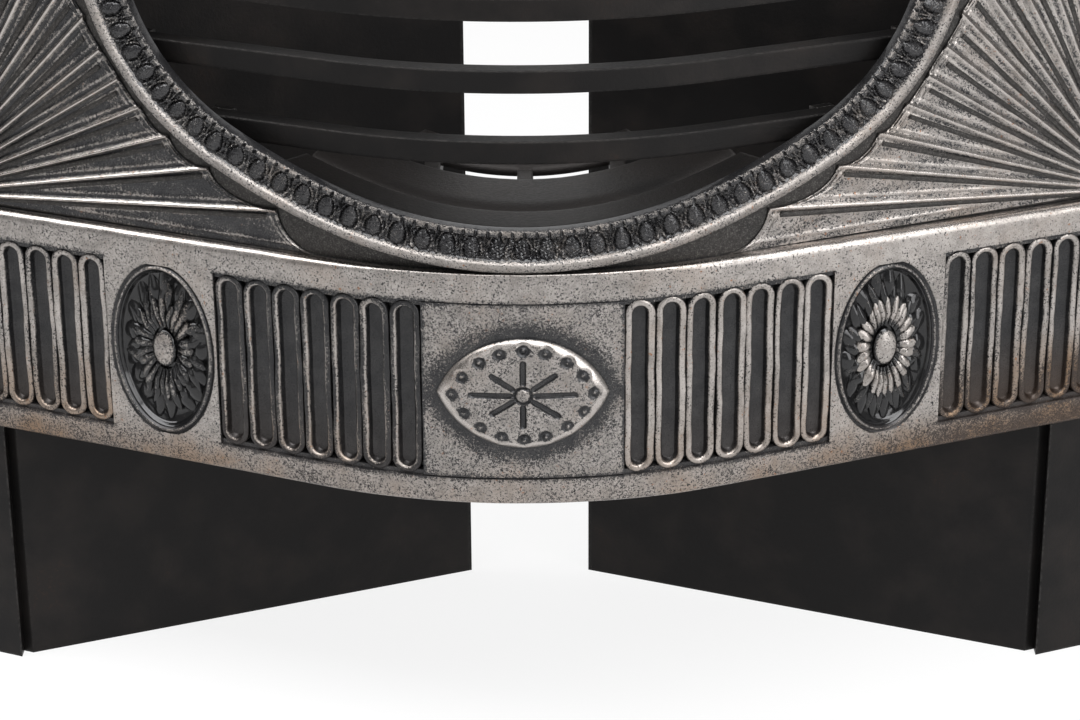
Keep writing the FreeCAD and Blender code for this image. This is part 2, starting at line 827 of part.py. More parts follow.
def cheek_holes():
    holes = []
    for reach, z in cheek_stands:
        place = from_behind(reach, z, plate_back + size.cheek_wall)
        holes.append(hole_along(place, -overshoot, size.cheek_wall + overshoot))
    holes += [down_hole(point, lug_low - overshoot, plate_top + overshoot) for point in hob_rivet_spots]
    holes.append(down_hole(bearer_bolt_spot, bearer_low - seat_depth, bearer_low + overshoot))
    return Part.makeCompound(holes)


cheek_blank = feature("cheek_blank", prism(cheek_plan(), 0, plate_top))
cheek_cast = joined("cheek_cast", cheek_blank, feature("cheek_lugs", cheek_lugs()))
right_cheek = carved("right_cheek", cheek_cast, feature("cheek_holes", cheek_holes()))
keep("right_cheek", right_cheek)
keep("left_cheek", mirrored("left_cheek", right_cheek))


# Hob plates: the flat tops beside the fire
def hob_plate_plan():
    start = reach_of(ring_half - size.plate_lap)
    end_front = spot(half_reach, plate_front)
    end_rear = Vector(end_front.x, rear_y, 0)
    inner = meet(cheek_front, cheek_way, Vector(size.hob_inner, 0, 0), Vector(0, 1, 0))
    return [spot(start, plate_front), end_front, end_rear, cheek_rear, inner, spot(start, plate_back)]


def hob_plate_holes():
    narrow = hole_half
    wide = size.countersink_width / 2 + size.bolt_play
    sink = Part.makeWedge(-wide, 0, -wide, -narrow, -narrow,
                          wide, size.countersink_depth, wide, narrow, narrow)
    holes = []
    for point in hob_rivet_spots:
        holes.append(down_hole(point, plate_top - overshoot, size.hob_height + overshoot))
        holes.append(placed(sink, Placement(Vector(point.x, point.y, size.hob_height), sunk)))
    return Part.makeCompound(holes)


hob_blank = feature("hob_plate_blank", prism(hob_plate_plan(), plate_top, size.hob_height))
right_hob = carved("right_hob_plate", hob_blank, feature("hob_plate_holes", hob_plate_holes()))
keep("right_hob_plate", right_hob)
keep("left_hob_plate", mirrored("left_hob_plate", right_hob))


# Fire bars: bowed like the front, behind the ring
def fire_bar(end, level):
    low = level - size.bar_height / 2
    bar = bow_band(-end, end, plate_back, plate_back + size.bar_depth, low, low + size.bar_height)
    holes = []
    for way in (-1, 1):
        place = from_behind(way * (end - size.bar_lap / 2), level, plate_back + size.bar_depth)
        holes.append(hole_along(place, -overshoot, size.bar_depth + overshoot))
    return bar.cut(holes)


for name, end, level in zip(("lower_fire_bar", "middle_fire_bar", "upper_fire_bar"), bar_ends, bar_levels):
    keep(name, feature(name, fire_bar(end, level)))


# Nest: three dished bars on ribs, loose on the ledges and the bearer
def dished(start, end, near, far):
    top_radius = size.ring_radius - size.ring_width + size.nest_drop
    axis = Vector(0, -far_depth / 2, ring_centre_z)
    tube = Part.makeCylinder(top_radius + size.nest_wall, far_depth, axis, Vector(0, 1, 0))
    tube = tube.cut(Part.makeCylinder(top_radius, far_depth, axis, Vector(0, 1, 0)))
    return tube.common(bow_band(start, end, near, far, 0, ring_centre_z))


def nest_shape():
    lip_far = size.nest_front + size.nest_lip_depth
    mid_near = lip_far + size.nest_slot
    mid_far = mid_near + size.nest_mid_depth
    rear_near = mid_far + size.nest_rear_slot
    rear_far = rear_near + size.nest_rear_depth
    lip = dished(-size.nest_half_reach, size.nest_half_reach, size.nest_front, lip_far)
    middle = dished(-size.nest_half_reach, size.nest_half_reach, mid_near, mid_far)
    rear = dished(-size.nest_rear_half_reach, size.nest_rear_half_reach, rear_near, rear_far)
    rib_low = seat_level + size.rest_gap
    top_radius = size.ring_radius - size.ring_width + size.nest_drop
    core = Part.makeCylinder(top_radius + size.nest_wall / 2, far_depth,
                             Vector(0, -far_depth / 2, ring_centre_z), Vector(0, 1, 0))
    span = bow_band(-size.nest_half_reach, size.nest_half_reach, size.nest_front, rear_far,
                    0, ring_centre_z)
    ribs = []
    for x in (-size.nest_rib_pitch, 0, size.nest_rib_pitch):
        blank = Part.makeBox(size.nest_rib_width, far_depth, ring_centre_z - rib_low,
                             Vector(x - size.nest_rib_width / 2, -far_depth / 2, rib_low))
        ribs.append(blank.common(span).cut(core))
    return lip.fuse([middle, rear] + ribs).removeSplitter()


keep("nest_grate", feature("nest_grate", nest_shape()))


# Bearer: the cross bar under the back of the nest, seated on the cheeks
def bearer_shape():
    corners = []
    for y in (bearer_y - size.bearer_depth / 2, bearer_y + size.bearer_depth / 2):
        inset = cheek_front - cheek_out * size.rest_gap
        corners.append(meet(inset, cheek_way, Vector(0, y, 0), Vector(1, 0, 0)))
    front, rear = corners
    points = [front, rear, Vector(-rear.x, rear.y, 0), Vector(-front.x, front.y, 0)]
    bar = prism(points, bearer_low, seat_level)
    holes = []
    for way in (-1, 1):
        point = Vector(way * bearer_bolt_spot.x, bearer_bolt_spot.y, 0)
        holes.append(down_hole(point, bearer_low - overshoot, seat_level + overshoot))
    return bar.cut(holes)


keep("nest_bearer", feature("nest_bearer", bearer_shape()))


# Bolts, rivets and roves, one group of separate solids for each joint
def group(label, shape, places):
    keep(label, feature(label, Part.makeCompound([placed(shape, place) for place in places])))


def behind_both(stands, depth):
    return [from_behind(way * reach, z, depth) for reach, z in stands for way in (-1, 1)]


def hanging(points, z):
    return [Placement(Vector(way * p.x, p.y, z), downward) for p in points for way in (-1, 1)]


group("apron_bolts", front_bolt, behind_both(apron_stands, plate_back))
group("ring_bolts", front_bolt, behind_both(ring_stands, plate_back))
group("cheek_bolts", flange_bolt, behind_both(cheek_stands, plate_back + size.cheek_wall))
group("fire_bar_bolts", bar_bolt, behind_both(bar_stands, plate_back + size.bar_depth))
group("hob_plate_rivets", hob_rivet, hanging(hob_rivet_spots, size.hob_height))
group("hob_plate_roves", hob_rove, hanging(hob_rivet_spots, lug_low - size.head_gap))
group("bearer_bolts", bearer_bolt, hanging([bearer_bolt_spot], seat_level))

doc.recompute()
for item in doc.Objects:
    if "Invalid" in item.State or "Error" in item.State:
        raise RuntimeError("%s did not build" % item.Name)
for label, item in nodes.items():
    shape = item.Shape
    if shape.isNull() or not shape.isValid():
        raise RuntimeError("%s has a broken shape" % label)
for label, item in nodes.items():
    item.Shape.exportStep("parts/%s.step" % label)
    box = item.Shape.BoundBox
    print("%-18s solids %d  volume %.0f  x %.1f %.1f  y %.1f %.1f  z %.1f %.1f" % (
        label, len(item.Shape.Solids), item.Shape.Volume,
        box.XMin, box.XMax, box.YMin, box.YMax, box.ZMin, box.ZMax))
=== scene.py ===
import json
import math

import bpy
import numpy as np
from mathutils import Matrix, Vector


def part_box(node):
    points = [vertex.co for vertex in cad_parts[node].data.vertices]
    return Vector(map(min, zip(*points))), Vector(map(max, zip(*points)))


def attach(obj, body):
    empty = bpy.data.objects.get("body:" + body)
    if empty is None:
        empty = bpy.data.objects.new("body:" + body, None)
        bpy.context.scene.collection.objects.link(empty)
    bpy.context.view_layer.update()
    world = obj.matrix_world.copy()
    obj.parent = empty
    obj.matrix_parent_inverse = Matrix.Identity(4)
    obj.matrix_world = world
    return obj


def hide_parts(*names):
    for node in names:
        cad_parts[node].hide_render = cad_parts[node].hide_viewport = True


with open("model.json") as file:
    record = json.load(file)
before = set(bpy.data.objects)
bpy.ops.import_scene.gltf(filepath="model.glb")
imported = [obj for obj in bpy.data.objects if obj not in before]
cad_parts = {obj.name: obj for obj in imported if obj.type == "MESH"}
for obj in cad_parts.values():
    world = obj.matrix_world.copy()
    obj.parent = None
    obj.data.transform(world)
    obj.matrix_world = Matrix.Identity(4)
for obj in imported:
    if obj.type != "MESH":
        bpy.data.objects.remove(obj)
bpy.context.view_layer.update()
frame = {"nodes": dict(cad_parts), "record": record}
print("frame loaded:", len(frame["nodes"]), "castings and fasteners")

mm = 0.001

# the bowed front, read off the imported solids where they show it
front = {
    "noseRadius": 311 * mm,
    "cant": math.radians(23.1),
    "apronWall": 9 * mm,           # the hob fronts lie this far behind the apron's face
    "apronLow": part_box("fluted_apron")[0].z,
    "apronTop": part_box("fluted_apron")[1].z,
    "halfWidth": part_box("fluted_apron")[1].x,
    "hobHeight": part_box("nest_ring")[1].z,
    "ringLow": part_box("nest_ring")[0].z,
}
front["noseY"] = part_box("right_hob_front")[0].y - front["apronWall"]


def onFront(reach, depth, z):
    # point at a distance along the bow, a depth behind the apron's face and a height
    reach, depth, z = np.broadcast_arrays(*(np.asarray(v, float) for v in (reach, depth, z)))
    angle = np.clip(reach / front["noseRadius"], -front["cant"], front["cant"])
    along = reach - front["noseRadius"] * angle
    radius = front["noseRadius"] - depth
    x = radius * np.sin(angle) + along * np.cos(angle)
    y = front["noseY"] + front["noseRadius"] - radius * np.cos(angle) + along * np.sin(angle)
    return np.stack([x, y, z], -1)


def reachOf(x):
    # distance along the bow of a plan x
    noseX = front["noseRadius"] * math.sin(front["cant"])
    bent = front["noseRadius"] * np.arcsin(np.clip(x, -noseX, noseX) / front["noseRadius"])
    return bent + np.sign(x) * np.maximum(np.abs(x) - noseX, 0) / math.cos(front["cant"])


front["halfReach"] = float(reachOf(front["halfWidth"]))


def ease(low, high, value):
    # 0 below low, 1 above high, eased between
    t = np.clip((value - low) / (high - low), 0, 1)
    return t * t * (3 - 2 * t)


def swell(value, run):
    # 1 at 0, fading over a run on both sides
    return np.exp(-(value / run) ** 2)


sandSkin = {
    "slowHeight": 0.11,            # of the waves in the skin, in millimetres
    "quickHeight": 0.06,
}


def handCast(reach, z):
    # the slow unevenness of an old sand casting, in metres
    a, b = np.asarray(reach) / mm, np.asarray(z) / mm
    slow = np.sin(a / 17 + 1.3 * np.sin(b / 29)) + np.sin(b / 13 - a / 41 + 0.7)
    quick = np.sin(a / 6.1 + b / 9.7 + 2)
    return (sandSkin["slowHeight"] * slow + sandSkin["quickHeight"] * quick) * mm


class Casting:
    # gathers grids of points into one mesh, with how brightly each point is rubbed
    def __init__(self):
        self.points, self.rub, self.faces, self.count = [], [], [], 0

    def grid(self, points, rub, loop=False, skip=None, turned=False):
        # rows run up or inward, columns run to the right or round a loop
        rows, columns = points.shape[:2]
        index = np.arange(rows * columns).reshape(rows, columns) + self.count
        if loop:
            index = np.concatenate([index, index[:, :1]], 1)
        quads = np.stack([index[:-1, :-1], index[:-1, 1:], index[1:, 1:], index[1:, :-1]], -1)
        if skip is not None:
            quads = quads[~skip]
        quads = quads.reshape(-1, 4)
        self.faces += (quads[:, ::-1] if turned else quads).tolist()
        self.points.append(points.reshape(-1, 3))
        self.rub.append(np.broadcast_to(rub, (rows, columns)).reshape(-1))
        self.count += rows * columns
        return index

    def cap(self, border, turned=False):
        border = [int(i) for i in border]
        self.faces.append(border[::-1] if turned else border)

    def plug(self, index):
        # faces over the last and the first ring of a looped grid
        self.cap(index[-1, :-1])
        self.cap(index[0, :-1], turned=True)

    def sides(self, index, turned=False):
        # faces over the first and the last column of a grid whose rows close on themselves
        self.cap(index[:-1, 0], turned=not turned)
        self.cap(index[:-1, -1], turned=turned)

    def close(self, index, turned=False):
        # one face behind a sheet, round its whole border
        border = [index[0, :], index[1:, -1], index[-1, -2::-1], index[-2:0:-1, 0]]
        self.cap(np.concatenate(border), turned)

    def build(self, name, material, body, sharpAngle=40):
        mesh = bpy.data.meshes.new(name)
        mesh.from_pydata(np.concatenate(self.points).tolist(), [], self.faces)
        rubbed = mesh.attributes.new("rub", "FLOAT", "POINT")
        rubbed.data.foreach_set("value", np.concatenate(self.rub).astype(np.float32))
        mesh.shade_smooth()
        mesh.set_sharp_from_angle(angle=math.radians(sharpAngle))
        mesh.validate()
        piece = bpy.data.objects.new(name, mesh)
        bpy.context.scene.collection.objects.link(piece)
        mesh.materials.append(material)
        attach(piece, body)
        print(name, "has", len(mesh.polygons), "faces")
        return piece


# shader maths: a wire is a socket that can be added, scaled and mixed
class Wire:
    def __init__(self, tree, socket=None):
        self.tree, self.socket = tree, socket

    def node(self, kind, settings, inputs, output=0):
        made = self.tree.nodes.new("ShaderNode" + kind)
        for key, value in settings.items():
            setattr(made, key, value)
        for key, value in inputs.items():
            if isinstance(value, Wire):
                self.tree.links.new(value.socket, made.inputs[key])
            else:
                made.inputs[key].default_value = value
        return Wire(self.tree, made.outputs[output] if made.outputs else None)

    def math(self, operation, first, second=0.0):
        return self.node("Math", {"operation": operation}, {0: first, 1: second})

    def __add__(self, other):
        return self.math("ADD", self, other)

    def __radd__(self, other):
        return self.math("ADD", other, self)

    def __sub__(self, other):
        return self.math("SUBTRACT", self, other)

    def __rsub__(self, other):
        return self.math("SUBTRACT", other, self)

    def __mul__(self, other):
        return self.math("MULTIPLY", self, other)

    def __rmul__(self, other):
        return self.math("MULTIPLY", other, self)

    def between(self, low, high):
        # 0 below low, 1 above high, eased between
        return self.node("MapRange", {"interpolation_type": "SMOOTHSTEP"}, {0: self, 1: low, 2: high})

    def blend(self, first, second):
        # colours mixed by this wire
        return self.node("Mix", {"data_type": "RGBA"}, {0: self, 6: first, 7: second}, 2)

    def noise(self, place, scale, detail=3.0, roughness=0.6):
        inputs = {"Vector": place, "Scale": scale, "Detail": detail, "Roughness": roughness}
        return self.node("TexNoise", {}, inputs)


def newMaterial(name):
    material = bpy.data.materials.new(name)
    material.use_nodes = True
    material.node_tree.nodes.clear()
    return material, Wire(material.node_tree)


def finishMaterial(start, colour, roughness, metallic, bumps, settings, normal=None):
    # bumps: height, distance in metres and strength, from coarse to fine
    for height, distance, strength in bumps:
        inputs = {"Height": height, "Distance": distance, "Strength": strength}
        if normal is not None:
            inputs["Normal"] = normal
        normal = start.node("Bump", {}, inputs)
    inputs = {"Base Color": colour, "Roughness": roughness, "Metallic": metallic, "Normal": normal}
    inputs.update(settings)
    shader = start.node("BsdfPrincipled", {}, inputs)
    start.node("OutputMaterial", {}, {0: shader})


wornIron = {
    "bright": (0.485, 0.451, 0.427, 1),
    "grey": (0.245, 0.228, 0.214, 1),
    "black": (0.019, 0.019, 0.021, 1),
    "sooty": (0.050, 0.049, 0.050, 1),
    "rust": (0.30, 0.12, 0.045, 1),
    "tan": (0.255, 0.175, 0.118, 1),
    "brown": (0.052, 0.031, 0.019, 1),
    "pitScale": 620.0,             # pits lie about 1.6 mm apart, the grain 0.6 mm
    "grainScale": 1700.0,
    "patchScale": 88.0,
    "stainScale": 24.0,
    "speckScale": 330.0,
    "spotScale": 900.0,
    # what each of them adds to the rub or takes from it
    "pitShare": 0.8,
    "grainShare": 1.0,
    "patchShare": 0.4,
    "stainShare": 0.35,
    "spotLoss": 0.34,
    "lowPitsAndShade": 0.18,
    # brown rust and painted shade of the lower edge: in the middle, and from, to and strength on both wings
    # and on the right one
    "lowMiddle": 0.28,
    "lowWings": (20 * mm, 340 * mm, 0.6),
    "lowRight": (160 * mm, 380 * mm, 1.1),
    "bare": (0.30, 0.50),          # rub at which the metal starts to show and is bare
    "polished": (0.7, 1.0),
    "spots": (0.60, 0.66),         # noise at which a black spot starts and is whole
    "warmShare": 0.25,
    "rustSpecks": (0.66, 0.70),
    "rustStain": (0.40, 0.55),
    "rustShare": 0.75,
    "brownShare": 0.4,
    "blackRough": 0.32,
    "coatRough": 0.14,
}


def darker(colour, share):
    return tuple(part * share for part in colour[:3]) + (1,)


def makeWornIron(name, dull, gloss, tan, soot=1.0):
    # burnished where it is rubbed, stippled black where less so, black in the hollows
    # tan holds the heights up to which the brown rust and the painted shade of the lower edge are full, and
    # from which there are none
    s = wornIron
    material, start = newMaterial(name)
    place = start.node("TexCoord", {}, {}, 3)
    height = start.node("SeparateXYZ", {}, {0: place}, 2)
    aside = start.node("SeparateXYZ", {}, {0: place}, 0)
    rub = start.node("Attribute", {"attribute_name": "rub"}, {}, 2)
    patches = start.noise(place, s["patchScale"], 4.0)
    pits = start.noise(place, s["pitScale"])
    grain = start.noise(place, s["grainScale"], 2.0)
    stain = start.noise(place, s["stainScale"], 4.0)
    specks = start.noise(place, s["speckScale"])
    # the lower edge is browner with rust, and darker and more pitted as painted shade where it rolls under,
    # most of all on the wings
    wingFrom, wingTo, wingShare = s["lowWings"]
    rightFrom, rightTo, rightShare = s["lowRight"]
    wing = aside.math("ABSOLUTE", aside).between(wingFrom, wingTo) * wingShare
    wing = wing + aside.between(rightFrom, rightTo) * rightShare
    low = (1 - height.between(*tan)) * (s["lowMiddle"] + wing)
    spots = start.noise(place, s["spotScale"], 1.0, 0.5).between(*s["spots"])
    value = rub + (pits - 0.5) * s["pitShare"] + (grain - 0.5) * s["grainShare"]
    value = value + (patches - 0.5) * s["patchShare"] + (stain - 0.5) * s["stainShare"]
    # low takes rub off the lower edge: painted shade where it rolls under
    value = value - spots * s["spotLoss"] - low * s["lowPitsAndShade"]
    cover = value.between(*s["bare"])
    polish = value.between(*s["polished"])
    tone = ((grain - 0.5) * 1.6 + (patches - 0.5) * 1.5 + 0.45 - polish * 0.3).between(0.1, 0.9)
    metal = tone.blend(s["bright"], s["grey"])
    warm = stain.between(0.45, 0.75) * s["warmShare"] + low * (0.5 + stain.between(0.35, 0.65) * 0.45)
    metal = warm.blend(metal, s["tan"])
    rusty = specks.between(*s["rustSpecks"]) * stain.between(*s["rustStain"]) * s["rustShare"]
    metal = rusty.blend(metal, s["rust"])
    black = (patches * 0.4 + grain * 0.6).between(0.40, 0.64)
    black = black.blend(darker(s["black"], soot), darker(s["sooty"], soot))
    black = (low * s["brownShare"]).blend(black, s["brown"])  # rust in the soot of the lower edge
    colour = cover.blend(black, metal)
    roughness = s["blackRough"] - gloss + cover * (0.05 + gloss + dull) - polish * 0.15 + (grain - 0.5) * 0.2
    metallic = 0.5 + cover * 0.5
    bumps = [(patches, 0.7 * mm, 0.25), (cover, 0.25 * mm, 0.4), (grain, 0.22 * mm, 0.4 - gloss * 2)]
    coat = (1 - cover) * (gloss * 1.6)
    settings = {"Specular IOR Level": 0.5, "Coat Weight": coat, "Coat Roughness": s["coatRough"]}
    finishMaterial(start, colour, roughness, metallic, bumps, settings)
    return material


blackIron = {
    "lead": (0.006, 0.0053, 0.0053, 1),
    "dusty": (0.0125, 0.0103, 0.0095, 1),
    "rust": (0.026, 0.016, 0.012, 1),
    "worn": (0.20, 0.19, 0.18, 1),
    "skinScale": 420.0,
    "cloudScale": 23.0,
    "grainScale": 1700.0,
    "edgeRadius": 2.5 * mm,
    "greyed": 0.1,                 # of a face that is rubbed in specks, all over and in the specks
    "specked": 0.45,
}


def makeBlackIron(name, roughness, wear, grit=1.0, speckAbove=None):
    # black-leaded cast iron: sand-cast skin, dust, a little rust, edges rubbed grey
    s = blackIron
    material, start = newMaterial(name)
    place = start.node("TexCoord", {}, {}, 3)
    skin = start.noise(place, s["skinScale"], 4.0, 0.62)
    cloud = start.noise(place, s["cloudScale"], 4.0, 0.55)
    grain = start.noise(place, s["grainScale"], 2.0)
    edge = start.node("Bevel", {"samples": 4}, {"Radius": s["edgeRadius"]})
    face = start.node("NewGeometry", {}, {}, 1)
    along = start.node("VectorMath", {"operation": "DOT_PRODUCT"}, {0: edge, 1: face}, 1)
    rubbed = (1 - along).between(0.02, 0.12) * skin.between(0.4, 0.6) * wear
    if speckAbove is not None:
        # over this height the face is rubbed grey in specks
        upper = start.node("SeparateXYZ", {}, {0: place}, 2).between(speckAbove - 4 * mm, speckAbove)
        specks = (skin * 0.3 + grain * 0.7).between(0.51, 0.62)
        rubbed = rubbed.math("MAXIMUM", rubbed, upper * (s["greyed"] + specks * s["specked"]))
    colour = (cloud + (grit - 1) * 0.2).between(0.4, 0.68).blend(s["lead"], s["dusty"])
    colour = (cloud.between(0.6, 0.72) * skin.between(0.5, 0.66) * 0.7).blend(colour, s["rust"])
    colour = rubbed.blend(colour, s["worn"])
    rough = roughness + (skin - 0.5) * 0.2 - rubbed * 0.12
    metallic = 0.55 + rubbed * 0.4
    bumps = [(cloud, 1.2 * mm, 0.15), (skin, 0.5 * mm * grit, 0.35), (grain, 0.18 * mm * grit, 0.3)]
    finishMaterial(start, colour, rough, metallic, bumps, {"Specular IOR Level": 0.4}, edge)
    return material


# the heights of the lower edge's brown rust and painted shade
rustAndShadeFull = front["apronLow"] + 1 * mm
noRustOrShade = (front["apronLow"] - 200 * mm, front["apronLow"] - 100 * mm)  # under all that carries the finish
apronIron = makeWornIron("burnishedApron", 0.0, 0.03, (rustAndShadeFull, front["apronLow"] + 32 * mm))
ringIron = makeWornIron("burnishedRing", 0.2, 0.12, noRustOrShade)
fanIron = makeWornIron("rubbedFan", -0.06, 0.03, noRustOrShade)
petalIron = makeWornIron("blackedPetals", 0.03, 0.2, noRustOrShade, soot=0.5)
fluteIron = makeWornIron("blackedFlutes", 0.0, 0.03, (rustAndShadeFull, front["apronLow"] + 80 * mm), soot=0.74)
print("materials made")

# the apron's plate: borders, sunk flute fields, panel and ends
apron = {
    "borderTop": 19.1 * mm,
    "borderLow": 17.7 * mm,
    "panelHalf": 62.7 * mm,
    "fluteCount": 7,
    "pateraZone": 78.9 * mm,
    "endBorder": 21.8 * mm,
    "fieldDepth": 6.4 * mm,
    "floorRun": (3.0 * mm, 4.4 * mm),  # the floor falls to its depth this far from a field's ends
    "endFloor": 0.3,               # share of the depth at those ends
    "panelDepth": 0.45 * mm,
    "lineDepth": 1.1 * mm,
    "lineWidth": 0.9 * mm,
    "topRound": 5.5 * mm,
    "topSharp": 0.25,              # the top edge is sharp in the middle and rounds off to the wings
    "topSharpRun": (60 * mm, 150 * mm),
    "topUneven": 0.22 * mm,
    "lowRound": 3.4 * mm,
    "endFade": 8 * mm,             # the skin smooths out towards the ends
    "wallRun": 0.35 * mm,          # how far the side of a sunk field slopes
    "columnStep": 3.0 * mm,
    "columnRoom": 1.2 * mm,
    "edgeSteps": 7,
    "edgeRoom": 2 * mm,            # from a rounded edge and from a line to the nearest row of the border
    "lineRoom": 2.5 * mm,
    "endRow": 0.2 * mm,            # from a line to the first row of a field
    "floorStart": 8 * mm,
    "floorSteps": 23,
    "borderSteps": 3,
    "rub": 0.565,
    "wallRub": 0.4,                # taken off on the sides of a field, with the rest by depth
    "lineRub": 0.1,
    "topRub": 0.45,
    "topRubShare": 0.3,            # of the rounding, over which that comes in
    # taken off the rolled lower edge: painted shade under it
    "lowPitsAndShade": 0.02,
    "rightGain": 0.15,              # the right wing's upper border is painted brighter, as light from the right would make it
    "rightRun": (80 * mm, 260 * mm),
    "panelSoot": 0.09,
    "fieldSoot": 0.24,
    "fieldSootRun": 3.2 * mm,
    "lineSoot": 0.2,
    "lineSootRun": 3.5 * mm,
}
fieldLow = front["apronLow"] + apron["borderLow"]
fieldTop = front["apronTop"] - apron["borderTop"]
fieldMiddle = (fieldLow + fieldTop) / 2
flutedReach = front["halfReach"] - apron["panelHalf"] - apron["pateraZone"] - apron["endBorder"]
flutePitch = flutedReach / (2 * apron["fluteCount"])
innerEnd = apron["panelHalf"] + apron["fluteCount"] * flutePitch
outerStart = innerEnd + apron["pateraZone"]
outerEnd = outerStart + apron["fluteCount"] * flutePitch
pateraReach = (innerEnd + outerStart) / 2

boss = {
    "halfLength": 53.4 * mm,
    "halfHeight": 36.3 * mm,
    "rise": 5.0 * mm,
    "crown": 0.25,                 # of the face, in millimetres
    # share of the way to the edge, depth in millimetres and rub
    "rim": [(1.0, 1.2, 0.0), (0.998, -0.4, 0.1), (0.985, -1.7, 0.55), (0.955, -2.9, 0.85),
            (0.915, -3.9, 0.97), (0.88, -4.65, 1.0)],
    "faceStart": 0.855,
    "faceSteps": 46,
    "faceRub": 0.5,
    "roundSteps": 320,
    "studRadius": 4.2 * mm,
    "studRise": 1.4 * mm,
    "moatGap": 0.9 * mm,
    "moatSides": (0.3 * mm, 1.3 * mm),
    "moatDepth": 0.8,              # against the rays
    "rayWidth": 3.6 * mm,
    "rayDepth": 1.8 * mm,
    "raySides": (0.28, 0.62),      # shares of the width between which the sides slope
    # degrees and millimetres
    "rays": [(0, 31.5), (34, 23), (90, 21), (146, 22.5), (180, 31), (213, 22), (270, 20), (327, 25)],
    "rayStart": 8.0 * mm,
    "dotCount": 16,
    "dotRadius": 2.55 * mm,
    "dotLine": 1.25 * mm,
    "dotDepth": 1.8 * mm,
    "dotMargin": 0.815,
    "dotStart": 0.02,
    "dotJitter": (-0.6, 0.6),      # along the margin, in millimetres
    "dotCut": (0.75, 1.0),
    "cutEnd": 0.94,
    "cutLoss": 0.95,
    "castShare": 0.6,              # of the skin's waves, drawn closer by the scale
    "castScale": 1.6,
    "haloWidth": 16 * mm,
    "haloDarkening": 0.32,
}


def bossEdge(angle):
    # distance from the middle to the pointed oval's edge
    length, high = boss["halfLength"], boss["halfHeight"]
    radius = (length ** 2 + high ** 2) / (2 * high)
    drop = radius - high
    lift = np.abs(np.sin(angle))
    return -drop * lift + np.sqrt((drop * lift) ** 2 + radius ** 2 - drop ** 2)


def inField(reach):
    # 1 inside a fluted field, 0 outside, with sloping sides
    run = apron["wallRun"]
    across = np.abs(reach)
    inner = ease(apron["panelHalf"] - run, apron["panelHalf"], across)
    inner = inner * (1 - ease(innerEnd, innerEnd + run, across))
    outer = ease(outerStart - run, outerStart, across) * (1 - ease(outerEnd, outerEnd + run, across))
    return inner + outer


def apronColumns():
    # even steps along the bow, with two close together at each side of a field
    stops = [apron["panelHalf"], innerEnd, outerStart, outerEnd]
    columns = np.arange(0, front["halfReach"], apron["columnStep"]).tolist() + [front["halfReach"]]
    for stop in stops:
        columns = [c for c in columns if abs(c - stop) > apron["columnRoom"]]
    for stop, way in zip(stops, (-1, 1, -1, 1)):
        columns += [stop, stop + way * apron["wallRun"]]
    columns = np.array(sorted(columns))
    return np.concatenate([-columns[:0:-1], columns])


def apronRows():
    # heights of the rows from the lower edge up, how far each is rounded back, and the field's own rows
    a = apron
    low, top = front["apronLow"], front["apronTop"]
    line = a["lineWidth"] / 2
    wall = line + a["wallRun"]
    turn = np.radians(np.linspace(0, 90, a["edgeSteps"]))
    lowRows = [(low + a["lowRound"] * (1 - math.cos(t)), a["lowRound"] * (1 - math.sin(t))) for t in turn]
    topRows = [(top - a["topRound"] * (1 - math.sin(t)), a["topRound"] * (1 - math.cos(t))) for t in turn]
    ends = np.array([line + a["endRow"], *a["floorRun"]])
    floor = np.linspace(fieldLow + a["floorStart"], fieldTop - a["floorStart"], a["floorSteps"])
    field = np.concatenate([fieldLow + ends, floor, fieldTop - ends[::-1]])
    lowClear, topClear = low + a["lowRound"] + a["edgeRoom"], top - a["topRound"] - a["edgeRoom"]
    lowBorder = np.linspace(lowClear, fieldLow - wall - a["lineRoom"], a["borderSteps"])
    topBorder = np.linspace(fieldTop + wall + a["lineRoom"], topClear, a["borderSteps"])
    lowLine = [fieldLow - wall, fieldLow - line, fieldLow]
    topLine = [fieldTop, fieldTop + line, fieldTop + wall]
    middle = np.concatenate([lowBorder, lowLine, field, topLine, topBorder])
    z = np.array([row[0] for row in lowRows] + middle.tolist() + [row[0] for row in topRows])
    edge = np.array([row[1] for row in lowRows] + [0.0] * len(middle) + [row[1] for row in topRows])
    return z, edge, field


